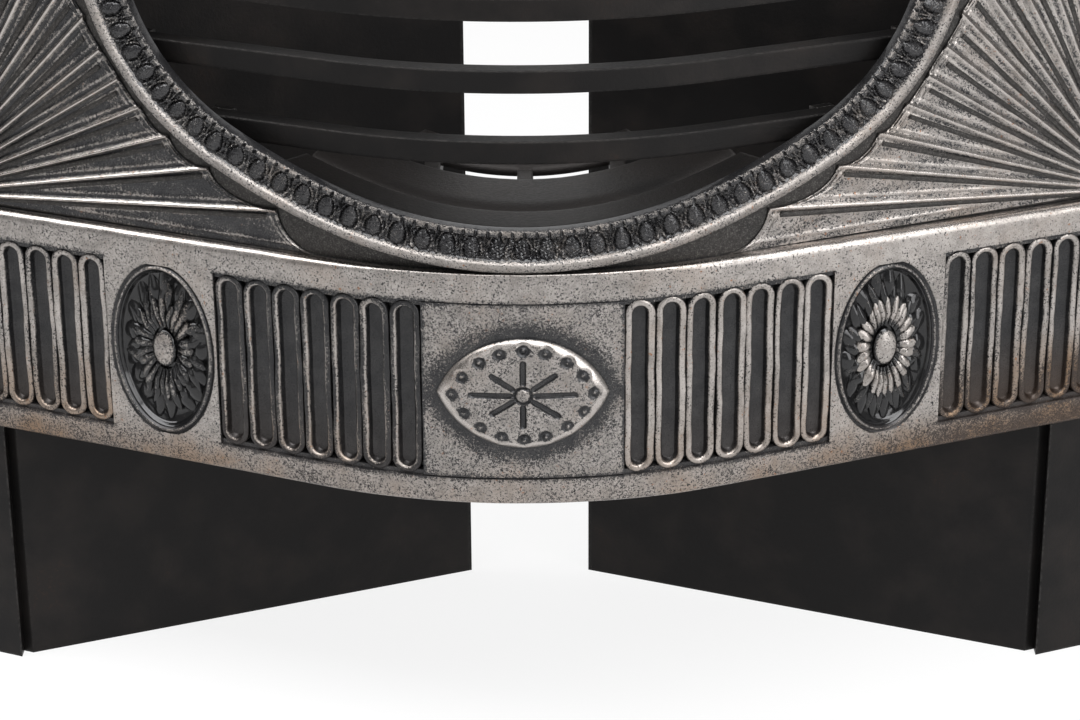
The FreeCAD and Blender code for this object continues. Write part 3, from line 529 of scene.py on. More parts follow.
def buildApron():
    a = apron
    line = a["lineWidth"] / 2
    low, top = front["apronLow"], front["apronTop"]
    columns = apronColumns()
    z, edge, field = apronRows()
    reach, height = np.meshgrid(columns, z)
    aside = np.abs(reach)
    depth = np.broadcast_to(edge[:, None], reach.shape).copy()
    upper = np.s_[-a["edgeSteps"]:]
    topShare = a["topSharp"] + (1 - a["topSharp"]) * ease(*a["topSharpRun"], aside[upper])
    height[upper] = top - (top - height[upper]) * topShare
    depth[upper] *= topShare
    inside = (height > fieldLow - line / 2) & (height < fieldTop + line / 2)
    onLine = (np.abs(height - fieldLow) < line / 2) | (np.abs(height - fieldTop) < line / 2)
    onTop = height > top - a["topRound"]
    onLow = height < low + a["lowRound"]
    sunk = inField(reach)
    panel = aside < a["panelHalf"]
    shallow = np.where(panel, a["panelDepth"], 0.0)
    groove = np.where(panel, a["lineDepth"], 0.0)
    toEnd = np.minimum(height - fieldLow, fieldTop - height)
    floorShare = a["endFloor"] + (1 - a["endFloor"]) * ease(*a["floorRun"], toEnd)
    flat = np.where(onLine, groove, shallow)
    depth += np.where(inside, sunk * floorShare * a["fieldDepth"] + (1 - sunk) * flat, 0)
    depth += handCast(reach, height) * (1 - sunk * inside) * ease(0, a["endFade"], front["halfReach"] - aside)
    uneven = np.sin(reach / mm / 23) + np.sin(reach / mm / 8.3 + 1) + 0.7 * np.sin(reach / mm / 4.1 + 2)
    depth += a["topUneven"] * uneven * ease(0, a["topRound"], depth) * onTop
    rub = np.where(inside, 1 - sunk * (a["wallRub"] + (1 - a["wallRub"]) * floorShare), 1.0) * a["rub"]
    rub = np.where(onLine & (groove > 0), a["lineRub"], rub)
    rub += a["topRub"] * ease(0, a["topRubShare"] * a["topRound"], depth) * onTop
    # the rolled lower edge is darker: painted shade under it
    rub -= a["lowPitsAndShade"] * ease(0, a["lowRound"], depth) * onLow
    # painted light: the right wing's upper border is made brighter, as if lit from the right
    rub += a["rightGain"] * ease(*a["rightRun"], reach) * (height > fieldTop)
    # the panel is darker, and darker still round the pointed boss
    up = height - fieldMiddle
    outside = np.hypot(reach, up) - bossEdge(np.arctan2(up, reach))
    rub -= panel * inside * (a["panelSoot"] + boss["haloDarkening"] * (1 - ease(0, boss["haloWidth"], outside)))
    # and along the outlines of the fields and the panel
    besideInner = np.maximum(a["panelHalf"] - aside, aside - innerEnd)
    besideOuter = np.maximum(outerStart - aside, aside - outerEnd)
    beside = np.minimum(besideInner, besideOuter)
    beyond = np.maximum(fieldLow - height, height - fieldTop)
    nearField = np.hypot(np.maximum(beside, 0), np.maximum(beyond, 0))
    rub -= a["fieldSoot"] * (1 - ease(0, a["fieldSootRun"], nearField)) * (1 - sunk * inside)
    rub -= a["lineSoot"] * (1 - ease(0, a["lineSootRun"], np.abs(beyond))) * panel
    # round the back, with a hole in the face for each patera
    lowBack = onFront(columns, front["apronWall"], low)[None]
    topBack = onFront(columns, front["apronWall"], top)[None]
    points = np.concatenate([lowBack, onFront(reach, depth, height), topBack, lowBack])
    unrubbed = np.zeros((1, len(columns)))
    rub = np.concatenate([unrubbed, rub, unrubbed, unrubbed])
    centreReach = (columns[:-1] + columns[1:]) / 2
    zone = np.abs(np.abs(centreReach) - pateraReach) < a["pateraZone"] / 2 - a["wallRun"] - 0.1 * mm
    rowMiddle = np.zeros(points.shape[0] - 1)
    rowMiddle[1:len(z)] = (z[:-1] + z[1:]) / 2
    inRows = (rowMiddle > fieldLow + line) & (rowMiddle < fieldTop - line)
    casting = Casting()
    index = casting.grid(points, rub, skip=inRows[:, None] & zone[None, :])
    casting.sides(index)
    right = zone & (centreReach > 0)
    buildPaterae(casting, [columns[:-1][right].min(), columns[1:][right].max(), field[0], field[-1]])
    piece = casting.build("flutedApron", apronIron, "grate_frame")
    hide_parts("fluted_apron")


# the oval paterae: a rim, a dish, three rings of petals and an eye
patera = {
    "halfWidth": 36 * mm,
    "halfHeight": 57 * mm,
    "dishInset": 3 * mm,
    "roundSteps": 144,
    # inset from the rim's outer edge and depth in millimetres, and rub
    "section": [(-3.0, 0.0, 0.59), (-1.6, 0.1, 0.5), (-0.8, 1.0, 0.08), (0.0, 1.2, 0.04), (0.7, 0.2, 0.30),
                (1.5, -0.5, 0.42), (2.4, -0.3, 0.40), (3.0, 0.6, 0.12), (3.5, 1.5, 0.02), (4.0, 1.2, 0.24),
                (4.6, 1.8, 0.12), (5.2, 3.8, 0.0), (7.0, 5.6, 0.0), (12.0, 6.3, 0.0), (20.0, 6.4, 0.0)],
    # the black lining of the dish: inset from the rim and depth in millimetres, back and then front
    "lining": [(20, 6.9), (12, 6.8), (7, 6.1), (5.2, 4.3), (4.6, 2.3), (4.0, 1.7), (3.7, 1.3), (4.0, 1.05),
               (4.6, 1.6), (5.2, 3.6), (7, 5.4), (12, 6.1), (20, 6.2)],
    # each ring of petals: shares of the dish at root and tip; depths at root, middle and tip in millimetres
    "petals": [
        {"count": 17, "ends": (0.50, 0.99), "depths": (5.2, 2.4, 5.4), "width": 0.60, "turn": 0.0,
         "rub": (0.0, 0.06), "point": 0.8, "arch": 3.0, "vein": 0.06},
        {"count": 21, "ends": (0.44, 0.84), "depths": (3.8, 1.2, 4.2), "width": 0.56, "turn": 0.5,
         "rub": (0.04, 0.16), "point": 0.7, "arch": 3.0, "vein": 0.12},
        {"count": 25, "ends": (0.27, 0.63), "depths": (3.6, 0.0, 2.2), "width": 0.60, "turn": 0.0,
         "rub": (0.18, 0.32), "point": 0.35, "arch": 1.7, "vein": 0.18},
    ],
    "alongSteps": 11,
    "acrossSteps": 9,
    # how much one petal differs from the next
    "aimJitter": 0.12,
    "tipJitter": 0.05,
    "leanJitter": 0.5,
    "depthJitter": 0.4,
    "rubJitter": 0.08,
    "leafRoot": 0.16,              # share of a leaf's outline that is cut off at the root
    "tipHalf": 0.004,
    "petalEdge": 1.6,              # the drop at a petal's edges, in millimetres
    "edgeLoss": 0.7,
    "veinWidth": 0.28,
    "wornRight": (0.0, 0.04, 0.40),  # the right flower is rubbed brighter than the left
    "wornEdgeLoss": 0.6,
    "wornRun": (0.1, 0.3),
    "wornEye": {-1: 0.50, 1: 0.66},
    "eyeWidth": 8.2 * mm,
    "eyeHeight": 12.3 * mm,
    "eyeDepth": 3.2,               # of the eye's edge, and the rise of its dome, in millimetres
    "eyeRise": 3.6,
    "eyeTop": 0.08,
    "eyeSteps": 9,
}


def onDish(side, across, up, depth):
    # point at distances from the middle of the left or right patera
    return onFront(side * pateraReach + across, depth, fieldMiddle + up)


def ovalRings(side, oval, section):
    # rings round the dish at the insets and depths of a section
    rings = []
    for inset, depth in section:
        width, height = patera["halfWidth"] - inset * mm, patera["halfHeight"] - inset * mm
        rings.append(onDish(side, width * np.cos(oval), height * np.sin(oval), depth * mm))
    return rings


def addPetal(flowers, side, layer, worn, number, jitter):
    # a long pointed leaf with a raised vein
    p = patera
    step = 2 * math.pi / layer["count"]
    root, tip = layer["ends"]
    along = np.linspace(0, 1, p["alongSteps"])
    across = np.linspace(-1, 1, p["acrossSteps"])
    aim = (number + layer["turn"] + p["aimJitter"] * jitter[0]) * step
    reachShare = root + (tip * (1 + p["tipJitter"] * jitter[1]) - root) * along
    leaf = p["leafRoot"] + (1 - p["leafRoot"]) * along
    half = layer["width"] * step * np.sin(np.pi * leaf) ** layer["point"]
    half[-1] = p["tipHalf"]        # almost a point
    share, bend = np.meshgrid(reachShare, across, indexing="ij")
    turned = aim + half[:, None] * bend + p["leanJitter"] * jitter[2] * along[:, None] ** 2 * step
    depths = np.array(layer["depths"]) + [0, p["depthJitter"] * jitter[3], 0]
    depth = np.interp(along, [0, 0.45, 1], depths)[:, None]
    depth = depth + layer["arch"] * np.abs(bend) ** 1.5 * np.sin(np.pi * along ** 0.8)[:, None]
    depth = depth + p["petalEdge"] * (np.abs(bend) > 0.99)
    rub = np.interp(along, [0, 1], layer["rub"])[:, None] * (1 - p["edgeLoss"] * np.abs(bend) ** 2)
    rub = rub + p["rubJitter"] * jitter[1]
    if side > 0:
        rub = rub + worn * (1 - p["wornEdgeLoss"] * np.abs(bend) ** 3) * ease(*p["wornRun"], along)[:, None]
    else:
        rub = rub + layer["vein"] * swell(bend, p["veinWidth"]) * np.sin(np.pi * along)[:, None]
    width, height = p["halfWidth"] - p["dishInset"], p["halfHeight"] - p["dishInset"]
    sheet = onDish(side, width * share * np.cos(turned), height * share * np.sin(turned), depth * mm)
    flowers.close(flowers.grid(sheet, np.clip(rub, 0, 1), turned=True))


def buildPaterae(casting, hole):
    p = patera
    angle = np.linspace(0, 2 * np.pi, p["roundSteps"], endpoint=False)
    rng = np.random.default_rng(7)
    tiny = 1e-9
    flowers = Casting()
    for side in (-1, 1):
        # from the square hole in the plate to the rim, then down into the dish
        left, right = hole[0] - pateraReach, hole[1] - pateraReach
        if side < 0:
            left, right = -right, -left
        low, high = hole[2] - fieldMiddle, hole[3] - fieldMiddle
        corners = [math.atan2(y, x) % (2 * math.pi) for x in (left, right) for y in (low, high)]
        turn = angle.copy()
        for corner in corners:
            turn[np.argmin(np.abs(turn - corner))] = corner
        cosine, sine = np.cos(turn), np.sin(turn)
        spread = np.minimum(np.where(cosine > 0, right, -left) / np.maximum(np.abs(cosine), tiny),
                            np.where(sine > 0, high, -low) / np.maximum(np.abs(sine), tiny))
        across, up = spread * cosine, spread * sine
        oval = np.arctan2(sine / p["halfHeight"], cosine / p["halfWidth"])
        rings = [onDish(side, across, up, handCast(side * pateraReach + across, fieldMiddle + up))]
        rings += ovalRings(side, oval, [step[:2] for step in p["section"]])
        rubs = [apron["rub"]] + [step[2] for step in p["section"]]
        index = casting.grid(np.stack(rings), np.array(rubs)[:, None], loop=True)
        casting.cap(index[-1, :-1])
        flowers.plug(flowers.grid(np.stack(ovalRings(side, oval, p["lining"])), 0.0, loop=True))
        for layer, worn in zip(p["petals"], p["wornRight"]):
            for number in range(layer["count"]):
                addPetal(flowers, side, layer, worn, number, rng.uniform(-1, 1, 4))
        # the eye: a low dome in a moat
        dome = np.linspace(1, p["eyeTop"], p["eyeSteps"])
        depth = (p["eyeDepth"] - p["eyeRise"] * np.sqrt(1 - np.minimum(dome, 0.999) ** 2)) * mm
        across = p["eyeWidth"] * dome[:, None] * np.cos(angle)
        up = p["eyeHeight"] * dome[:, None] * np.sin(angle)
        rub = np.interp(dome, [p["eyeTop"], 0.8, 1], [1, 0.95, 0.1])[:, None] * p["wornEye"][side]
        flowers.plug(flowers.grid(onDish(side, across, up, depth[:, None]), rub, loop=True))
    flowers.build("pateraFlowers", petalIron, "grate_frame")


buildApron()

# flutes: a raised bead round each black slot
flutes = {
    "grooveWidth": 0.5 * mm,
    "endGap": 0.4 * mm,
    # inset from the bead's outer edge and depth in millimetres, rub, and rub where the black has stayed
    "section": [(0.0, 6.6, 0.0, 0.0), (0.05, 2.0, 0.28, 0.0), (0.3, 1.4, 0.46, 0.12), (0.8, 1.0, 0.62, 0.2),
                (1.6, 0.85, 0.68, 0.24), (2.6, 0.9, 0.72, 0.32), (3.4, 1.2, 0.8, 0.64), (4.0, 1.9, 0.6, 0.54),
                (4.35, 3.2, 0.12, 0.1), (4.95, 4.9, 0.0, 0.0), (5.5, 5.7, 0.0, 0.0), (6.4, 5.95, 0.0, 0.0)],
    "crown": (0.2, 4.3),           # insets between which the bead is uneven
    "foot": 4.5,                   # inset up to which it is thicker or thinner
    "sideSteps": 16,
    "endSteps": 15,
    # how much one flute differs from the next, the shift in millimetres
    "shiftJitter": (-0.35, 0.35),
    "thickJitter": (-0.1, 0.12),
    "rubJitter": (-0.16, 0.06),
    "wornRub": 0.94,
    "rightGain": (0.17, -0.06),     # added on the right, to the inner and to the outer flutes
    "stayed": (1.05, 0.75),        # share of the rub on the left and right of a black flute
}


def slotLoop(half, high):
    # points of an upright slot with round ends, anticlockwise from its lower right
    straight = high - half
    up = np.linspace(-straight, straight, flutes["sideSteps"], endpoint=False)
    turn = np.linspace(0, math.pi, flutes["endSteps"], endpoint=False)
    upright = np.full(len(up), half)
    x = np.concatenate([upright, half * np.cos(turn), -upright, -half * np.cos(turn)])
    z = np.concatenate([up, straight + half * np.sin(turn), -up, -straight - half * np.sin(turn)])
    return x, z


def addFlute(casting, side, start, number, rng):
    f = flutes
    inner = start < innerEnd
    outerHalf = (flutePitch - f["grooveWidth"]) / 2
    outerHigh = (fieldTop - fieldLow) / 2 - f["endGap"]
    middle = side * (start + (number + 0.5) * flutePitch) + rng.uniform(*f["shiftJitter"]) * mm
    thick = 1 + rng.uniform(*f["thickJitter"])
    phase = rng.uniform(0, 6.28, 4)
    dark = side < 0 and inner      # the black has stayed on the left inner flutes
    gain = f["wornRub"] + rng.uniform(*f["rubJitter"])
    if side > 0:
        gain += f["rightGain"][0] if inner else f["rightGain"][1]
    rings, rubs = [], []
    for inset, depth, rub, darkRub in f["section"]:
        onCrown = f["crown"][0] < inset < f["crown"][1]
        grown = inset * mm * (thick if inset < f["foot"] else 1)
        x, z = slotLoop(outerHalf - grown, outerHigh - grown)
        wave = 0.24 * np.sin(z / mm / 9 + phase[0]) + 0.14 * np.sin(z / mm / 3.7 + phase[1])
        x = x + wave * mm * (1 if onCrown else 0.5)
        lift = 0.3 * np.sin(z / mm / 14 + phase[2] + (x > 0) * 2) + 0.12 * np.sin(z / mm / 2.6 + phase[3])
        rings.append(onFront(middle + x, (depth + lift * onCrown) * mm, fieldMiddle + z))
        kept = darkRub * np.where(x < 0, *f["stayed"]) if dark else rub * gain
        uneven = 0.1 * np.sin(z / mm / 11 + phase[3])
        rubs.append(np.clip(kept + uneven, 0, 1) * (rub > 0) * np.ones(len(x)))
    casting.plug(casting.grid(np.stack(rings), np.stack(rubs), loop=True))


def buildFlutes():
    casting = Casting()
    rng = np.random.default_rng(11)
    for start in (apron["panelHalf"], outerStart):
        for number in range(apron["fluteCount"]):
            for side in (-1, 1):
                addFlute(casting, side, start, number, rng)
    casting.build("fluteBeads", fluteIron, "grate_frame")


buildFlutes()


def bossCuts(across, up):
    # 1 in the bottom of the rays, the moat round the stud and the drilled rings
    b = boss
    cut = np.zeros_like(across)
    rayInner, rayOuter = (share * b["rayWidth"] for share in b["raySides"])
    for degrees, length in b["rays"]:
        way = np.array([math.cos(math.radians(degrees)), math.sin(math.radians(degrees))])
        along = np.clip(across * way[0] + up * way[1], b["rayStart"], length * mm)
        gap = np.hypot(across - along * way[0], up - along * way[1])
        cut = np.maximum(cut, 1 - ease(rayInner, rayOuter, gap))
    moat = np.abs(np.hypot(across, up) - b["studRadius"] - b["moatGap"])
    cut = np.maximum(cut, b["moatDepth"] * (1 - ease(*b["moatSides"], moat)))
    # the rings are evenly spaced along the margin
    fine = np.linspace(0, 2 * math.pi, 2000)
    margin = b["dotMargin"] * bossEdge(fine)
    marginX, marginZ = margin * np.cos(fine), margin * np.sin(fine)
    walked = np.concatenate([[0], np.cumsum(np.hypot(np.diff(marginX), np.diff(marginZ)))])
    rng = np.random.default_rng(5)
    for number in range(b["dotCount"]):
        shift = rng.uniform(*b["dotJitter"]) * mm
        at = (number + b["dotStart"]) / b["dotCount"] * walked[-1] + shift
        gap = np.hypot(across - np.interp(at, walked, marginX), up - np.interp(at, walked, marginZ))
        dot = swell(gap - b["dotRadius"], b["dotLine"]) * (b["dotDepth"] / b["rayDepth"])
        cut = np.maximum(cut, dot * rng.uniform(*b["dotCut"]))
    return cut


def buildBoss():
    b = boss
    angle = np.linspace(0, 2 * math.pi, b["roundSteps"], endpoint=False)
    faceTurn = np.linspace(0, math.pi / 2, b["faceSteps"])
    faceDepth = -b["rise"] / mm + 0.1 - b["crown"] * np.sin(faceTurn)
    shares = np.concatenate([[r[0] for r in b["rim"]], np.linspace(b["faceStart"], 0.02, b["faceSteps"])])
    depth = np.concatenate([[r[1] for r in b["rim"]], faceDepth]) * mm
    rub = np.concatenate([[r[2] for r in b["rim"]], np.full(b["faceSteps"], b["faceRub"])])
    edge = shares[:, None] * bossEdge(angle)
    across, up = edge * np.cos(angle), edge * np.sin(angle)
    depth = np.repeat(depth[:, None], len(angle), 1)
    rub = np.repeat(rub[:, None], len(angle), 1)
    cut = bossCuts(across, up) * (shares[:, None] < b["cutEnd"])
    depth = depth + cut * b["rayDepth"]
    stud = ease(0, 1, 1 - np.hypot(across, up) / b["studRadius"])
    depth = depth - b["studRise"] * np.sqrt(stud)
    depth = depth + b["castShare"] * handCast(across * b["castScale"], up * b["castScale"])
    rub = np.clip(rub - b["cutLoss"] * cut, 0, 1)
    casting = Casting()
    casting.plug(casting.grid(onFront(across, depth, fieldMiddle + up), rub, loop=True))
    casting.build("pointedBoss", apronIron, "grate_frame", sharpAngle=60)


buildBoss()

# the ring round the fire: a round rim, a hollow band of eggs and darts, and a toothed lip
ring = {
    "radius": 385 * mm,
    "turn": math.radians(30),
    "width": 27 * mm,
    # inset from the outer edge and depth in millimetres, and rub, over the rim
    "section": [(0.0, 8.8, 0.0), (0.02, 2.4, 0.16), (0.4, 1.1, 0.36), (1.1, 0.3, 0.46), (2.2, -0.4, 0.5),
                (3.6, -1.1, 0.54), (4.9, -1.6, 0.6), (6.1, -1.5, 0.6), (7.0, -0.6, 0.55), (7.7, 0.6, 0.4),
                (8.2, 1.5, 0.26)],
    # and over the band and the lip: insets with depths, and with rubs
    "bandDepth": [(9.2, 2.3), (12, 3.1), (17, 3.4), (21, 3.0), (22.2, 2.5), (26.2, 1.6), (26.9, 2.4),
                  (27.0, 3.0)],
    "bandRub": [(9.2, 0.18), (21, 0.18), (24.5, 0.24), (26.0, 0.36), (26.6, 0.46), (27.0, 0.1)],
    "bandInsets": (8.9, 26.2),
    "bandSteps": 38,
    "lipInsets": (26.7, 27.0, 27.0),
    # where the band and the lip come in and go out
    "bandStart": (8.4 * mm, 9.6 * mm),
    "bandEnd": (22.4 * mm, 23.2 * mm),
    "lipStart": (22.6 * mm, 23.4 * mm),
    "lipEnd": (26.3 * mm, 26.9 * mm),
    "backDepth": 8.8,
    "eggPitch": 15.8 * mm,
    "eggHalfWidth": 4.8 * mm,
    "eggHalfLength": 7.2 * mm,
    "eggMiddle": 15.4 * mm,
    "stepsPerEgg": 22,
    "eggTaper": 0.2,
    "eggRise": 3.6,                # rises in millimetres
    "frameRise": 1.8,
    "frameShare": 1.3,             # size of an egg's frame against the egg
    "frameLine": (0.35 * mm, 1.0 * mm),
    "dartRise": 1.5,
    "dartLine": (0.3 * mm, 0.9 * mm),
    "dartRun": (-6 * mm, 1 * mm),
    "lineRub": 0.17,
    "blurMiddle": -8 * mm,         # thick black fills the lowest eggs
    "blurReach": 48 * mm,
    "blurLoss": 0.4,
    "toothSide": (0.06, 0.15),
    "toothRise": 2.2,
    "toothRub": 0.22,
    "betweenDrop": 0.4,            # taken off the lip between the teeth
    "betweenLoss": 0.16,
    "roughHeight": 0.5,
}
ringCentre = front["ringLow"] + ring["radius"]
sideReach = (ringCentre - front["hobHeight"]) / math.cos(ring["turn"])
sideRadius = ring["radius"] - sideReach
sideX = sideReach * math.sin(ring["turn"])
longArc = ring["radius"] * ring["turn"]


def onRing(walked, inset):
    # x and z at a distance along the ring's outer edge from its lowest point, and an inset from that edge
    r = ring
    gone = np.abs(walked)
    turn = np.where(gone < longArc, gone / r["radius"], r["turn"] + (gone - longArc) / sideRadius)
    low = turn <= r["turn"]
    x = np.where(low, (r["radius"] - inset) * np.sin(turn), sideX + (sideRadius - inset) * np.sin(turn))
    z = np.where(low, ringCentre - (r["radius"] - inset) * np.cos(turn),
                 front["hobHeight"] - (sideRadius - inset) * np.cos(turn))
    return np.sign(walked) * x, z


def buildRing():
    r = ring
    half = longArc + sideRadius * (math.pi / 2 - r["turn"])
    columns = int(round(2 * half / r["eggPitch"])) * r["stepsPerEgg"]
    walked = np.linspace(-half, half, columns + 1)
    rimInset, rimDepth, rimRub = (list(values) for values in zip(*r["section"]))
    band = np.linspace(*r["bandInsets"], r["bandSteps"])
    inset = np.concatenate([rimInset, band, r["lipInsets"]]) * mm
    along, inward = np.meshgrid(walked, inset)
    bandInset, bandDepth = (list(values) for values in zip(*r["bandDepth"]))
    depth = np.interp(inset / mm, rimInset + bandInset, rimDepth + bandDepth)
    depth[:len(rimDepth)] = rimDepth
    depth[-1] = r["backDepth"]
    depth = np.repeat(depth[:, None], len(walked), 1)
    rubInset, bandRub = (list(values) for values in zip(*r["bandRub"]))
    rub = np.interp(inset / mm, rimInset + rubInset, rimRub + bandRub)
    rub = np.repeat(rub[:, None], len(walked), 1)
    # each egg hangs in a thin frame, with a dart between frames; casting flaws change their size
    number = np.floor(along / r["eggPitch"] + 0.5)
    across = along - number * r["eggPitch"]
    flaw = 0.5 + 0.5 * np.sin(number * 12.9898 + 4.1) * np.cos(number * 3.7)
    length = r["eggHalfLength"] * (0.9 + 0.16 * flaw)
    down = inward - r["eggMiddle"]
    taper = 1 - r["eggTaper"] * down / length
    oval = (across / (r["eggHalfWidth"] * taper)) ** 2 + (down / length) ** 2
    egg = np.sqrt(np.clip(1 - oval, 0, 1))
    frameGap = np.abs(np.sqrt(np.maximum(oval, 1e-6)) - r["frameShare"]) * r["eggHalfWidth"]
    eggFrame = (1 - ease(*r["frameLine"], frameGap)) * (down > -0.9 * length)
    dartGap = np.abs(np.abs(across) - r["eggPitch"] / 2)
    dart = (1 - ease(*r["dartLine"], dartGap)) * ease(*r["dartRun"], down)
    inBand = ease(*r["bandStart"], inward) * (1 - ease(*r["bandEnd"], inward))
    lines = np.maximum(eggFrame * r["frameRise"], dart * r["dartRise"])
    raised = np.maximum(egg * r["eggRise"] * (0.75 + 0.3 * flaw), lines)
    blurred = swell(along - r["blurMiddle"], r["blurReach"])
    depth -= inBand * raised * (1 - r["blurLoss"] * blurred)
    streak = 0.5 + 0.5 * np.sin(along / mm / 5.3 + 1.7 * np.sin(along / mm / 31)) * np.cos(inward / mm / 3.1)
    lineRub = (eggFrame * r["lineRub"] + dart * r["lineRub"]) * (0.4 + streak)
    rub += inBand * (egg ** 2 * 0.06 - egg * 0.06 + lineRub)
    # teeth along the lip
    tooth = ease(*r["toothSide"], np.abs(((along / (r["eggPitch"] / 2) + 0.25) % 1) - 0.5))
    lip = ease(*r["lipStart"], inward) * (1 - ease(*r["lipEnd"], inward))
    depth -= lip * (r["toothRise"] * tooth - r["betweenDrop"])
    rub += lip * (r["toothRub"] * tooth - r["betweenLoss"])
    crossed = np.sin(inward / mm * 1.7 + along / mm * 0.63)
    rough = np.sin(along / mm * 1.9 + np.sin(inward / mm * 1.3) * 2) * crossed
    depth += inBand * r["roughHeight"] * rough * (1 + blurred)
    depth *= mm
    depth += handCast(along, inward * 2) * (inward < 8 * mm)
    x, z = onRing(along, inward)
    points = onFront(reachOf(x), depth, z)
    points = np.concatenate([points, points[:1]])
    rub = np.concatenate([rub, rub[:1]])
    casting = Casting()
    casting.sides(casting.grid(points, np.clip(rub, 0, 1), turned=True), turned=True)
    piece = casting.build("eggRing", ringIron, "grate_frame", sharpAngle=55)
    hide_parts("nest_ring")


buildRing()

# the fan on each hob front: hollow petals between sharp folds, ending in scallops
# values with two keys are for the right and the left fan
fan = {
    "pivotInset": 25 * mm,
    "pivotRise": 2.5 * mm,
    "hubRadius": 9.6 * mm,
    "hubRise": 3.4,                # rises over the plate in millimetres
    "firstAngle": 5.2,
    "stepAngle": 6.7,
    "ribCount": 13,
    "margin": 4.5 * mm,
    "tail": 27 * mm,
    "shortestFold": 15 * mm,
    "foldStep": 0.5 * mm,
    "topLimit": front["hobHeight"] - 35 * mm,
    "crest": {1: 3.0, -1: 3.8},
    "crestRun": {1: 2.0 * mm, -1: 1.7 * mm},
    "hollow": 1.0,
    "secondGap": 5.0 * mm,         # a thin second line runs along each fold
    "secondRun": 0.9 * mm,
    "secondRise": 0.6,
    "secondRub": 0.28,
    "secondStart": (0.25, 0.5),    # shares of a petal's length
    "outline": 2.3,
    # the two lines along the scalloped ends: gap to the end, run, share of the rise
    "outlines": [(1.4 * mm, 0.9 * mm, 1.0), (5.2 * mm, 0.8 * mm, 0.75)],
    "outlineRub": 0.3,
    "foldSkirt": 0.012,            # the last fold falls away over this angle
    "petalRub": {1: 0.46, -1: 0.2},
    # the folds are rubbed bright on their crests, and the left fan's folds are painted brighter than the
    # right's: a painted highlight
    "foldWearAndHighlight": {1: 0.5, -1: 1.0},
    "foldRubRun": 1.3 * mm,
    "sootLoss": 0.08,              # soot beside the folds
    "sootGap": 2.8 * mm,
    "sootRun": 1.0 * mm,
    "acrossSteps": 26,
    "petalShares": (0.03, 0.95),
    "alongSteps": 40,
    "endShares": (0.955, 1),
    "endSteps": 16,
    "hubDome": (1.0, 0.98, 0.9, 0.75, 0.5, 0.2, 0.02),
    "hubSteps": 33,
    "sunkEdge": -0.5,              # the sheet's border lies in the plate
}
pivotReach = front["halfReach"] - fan["pivotInset"]
pivotZ = front["apronTop"] + fan["pivotRise"]


def ringGap(reach, z):
    # distance outside the ring's outer edge
    x = onFront(reach, front["apronWall"], z)[..., 0]
    turn = math.atan2(x, ringCentre - z)
    if turn <= ring["turn"]:
        return math.hypot(x, ringCentre - z) - ring["radius"]
    return math.hypot(x - sideX, z - front["hobHeight"]) - sideRadius


def foldLength(angle):
    # a fold runs from the pivot until it meets the ring or the top border
    length = fan["shortestFold"]
    while True:
        reach, z = pivotReach - length * math.cos(angle), pivotZ + length * math.sin(angle)
        if ringGap(reach, z) < fan["margin"] or z > fan["topLimit"]:
            return length
        length += fan["foldStep"]


def fanColumns():
    # for each column: its angle and length, and its angle from the nearest line and the nearest fold
    f = fan
    angles = [math.radians(f["firstAngle"] + n * f["stepAngle"]) for n in range(f["ribCount"])]
    folds = [(a, foldLength(a)) for a in angles]
    tailLength = folds[0][1] + f["tail"]
    folds = [(-math.asin(f["pivotRise"] / tailLength), tailLength)] + folds
    even = np.linspace(0, 1, f["acrossSteps"])
    s = 0.5 * even + 0.25 * (1 - np.cos(math.pi * even))
    angle, length, gap, foldGap = [], [], [], []
    for (lowAngle, lowLength), (highAngle, highLength) in zip(folds, folds[1:]):
        bite = 1 - np.sqrt(1 - (1 - s if highLength <= lowLength else s) ** 2)
        skip = 1 if angle else 0
        angle.append((lowAngle + (highAngle - lowAngle) * s)[skip:])
        length.append((min(lowLength, highLength) + abs(lowLength - highLength) * bite)[skip:])
        gap.append((np.minimum(s, 1 - s) * (highAngle - lowAngle))[skip:])
        # the lowest petal has no lower fold
        foldGap.append(gap[-1] if skip else (1 - s) * (highAngle - lowAngle))
    # the far half of the last fold, and a skirt on both sides
    past = np.array([0.3, 0.6, 1.0, 1.5, 1.5]) * f["foldSkirt"]
    angle = np.concatenate([[angle[0][0]], *angle, folds[-1][0] + past])
    length = np.concatenate([[length[0][0]], *length, np.full(len(past), folds[-1][1])])
    gap = np.concatenate([[0], *gap, past])
    foldGap = np.concatenate([[foldGap[0][0]], *foldGap, past])
    return angle, length, gap, foldGap


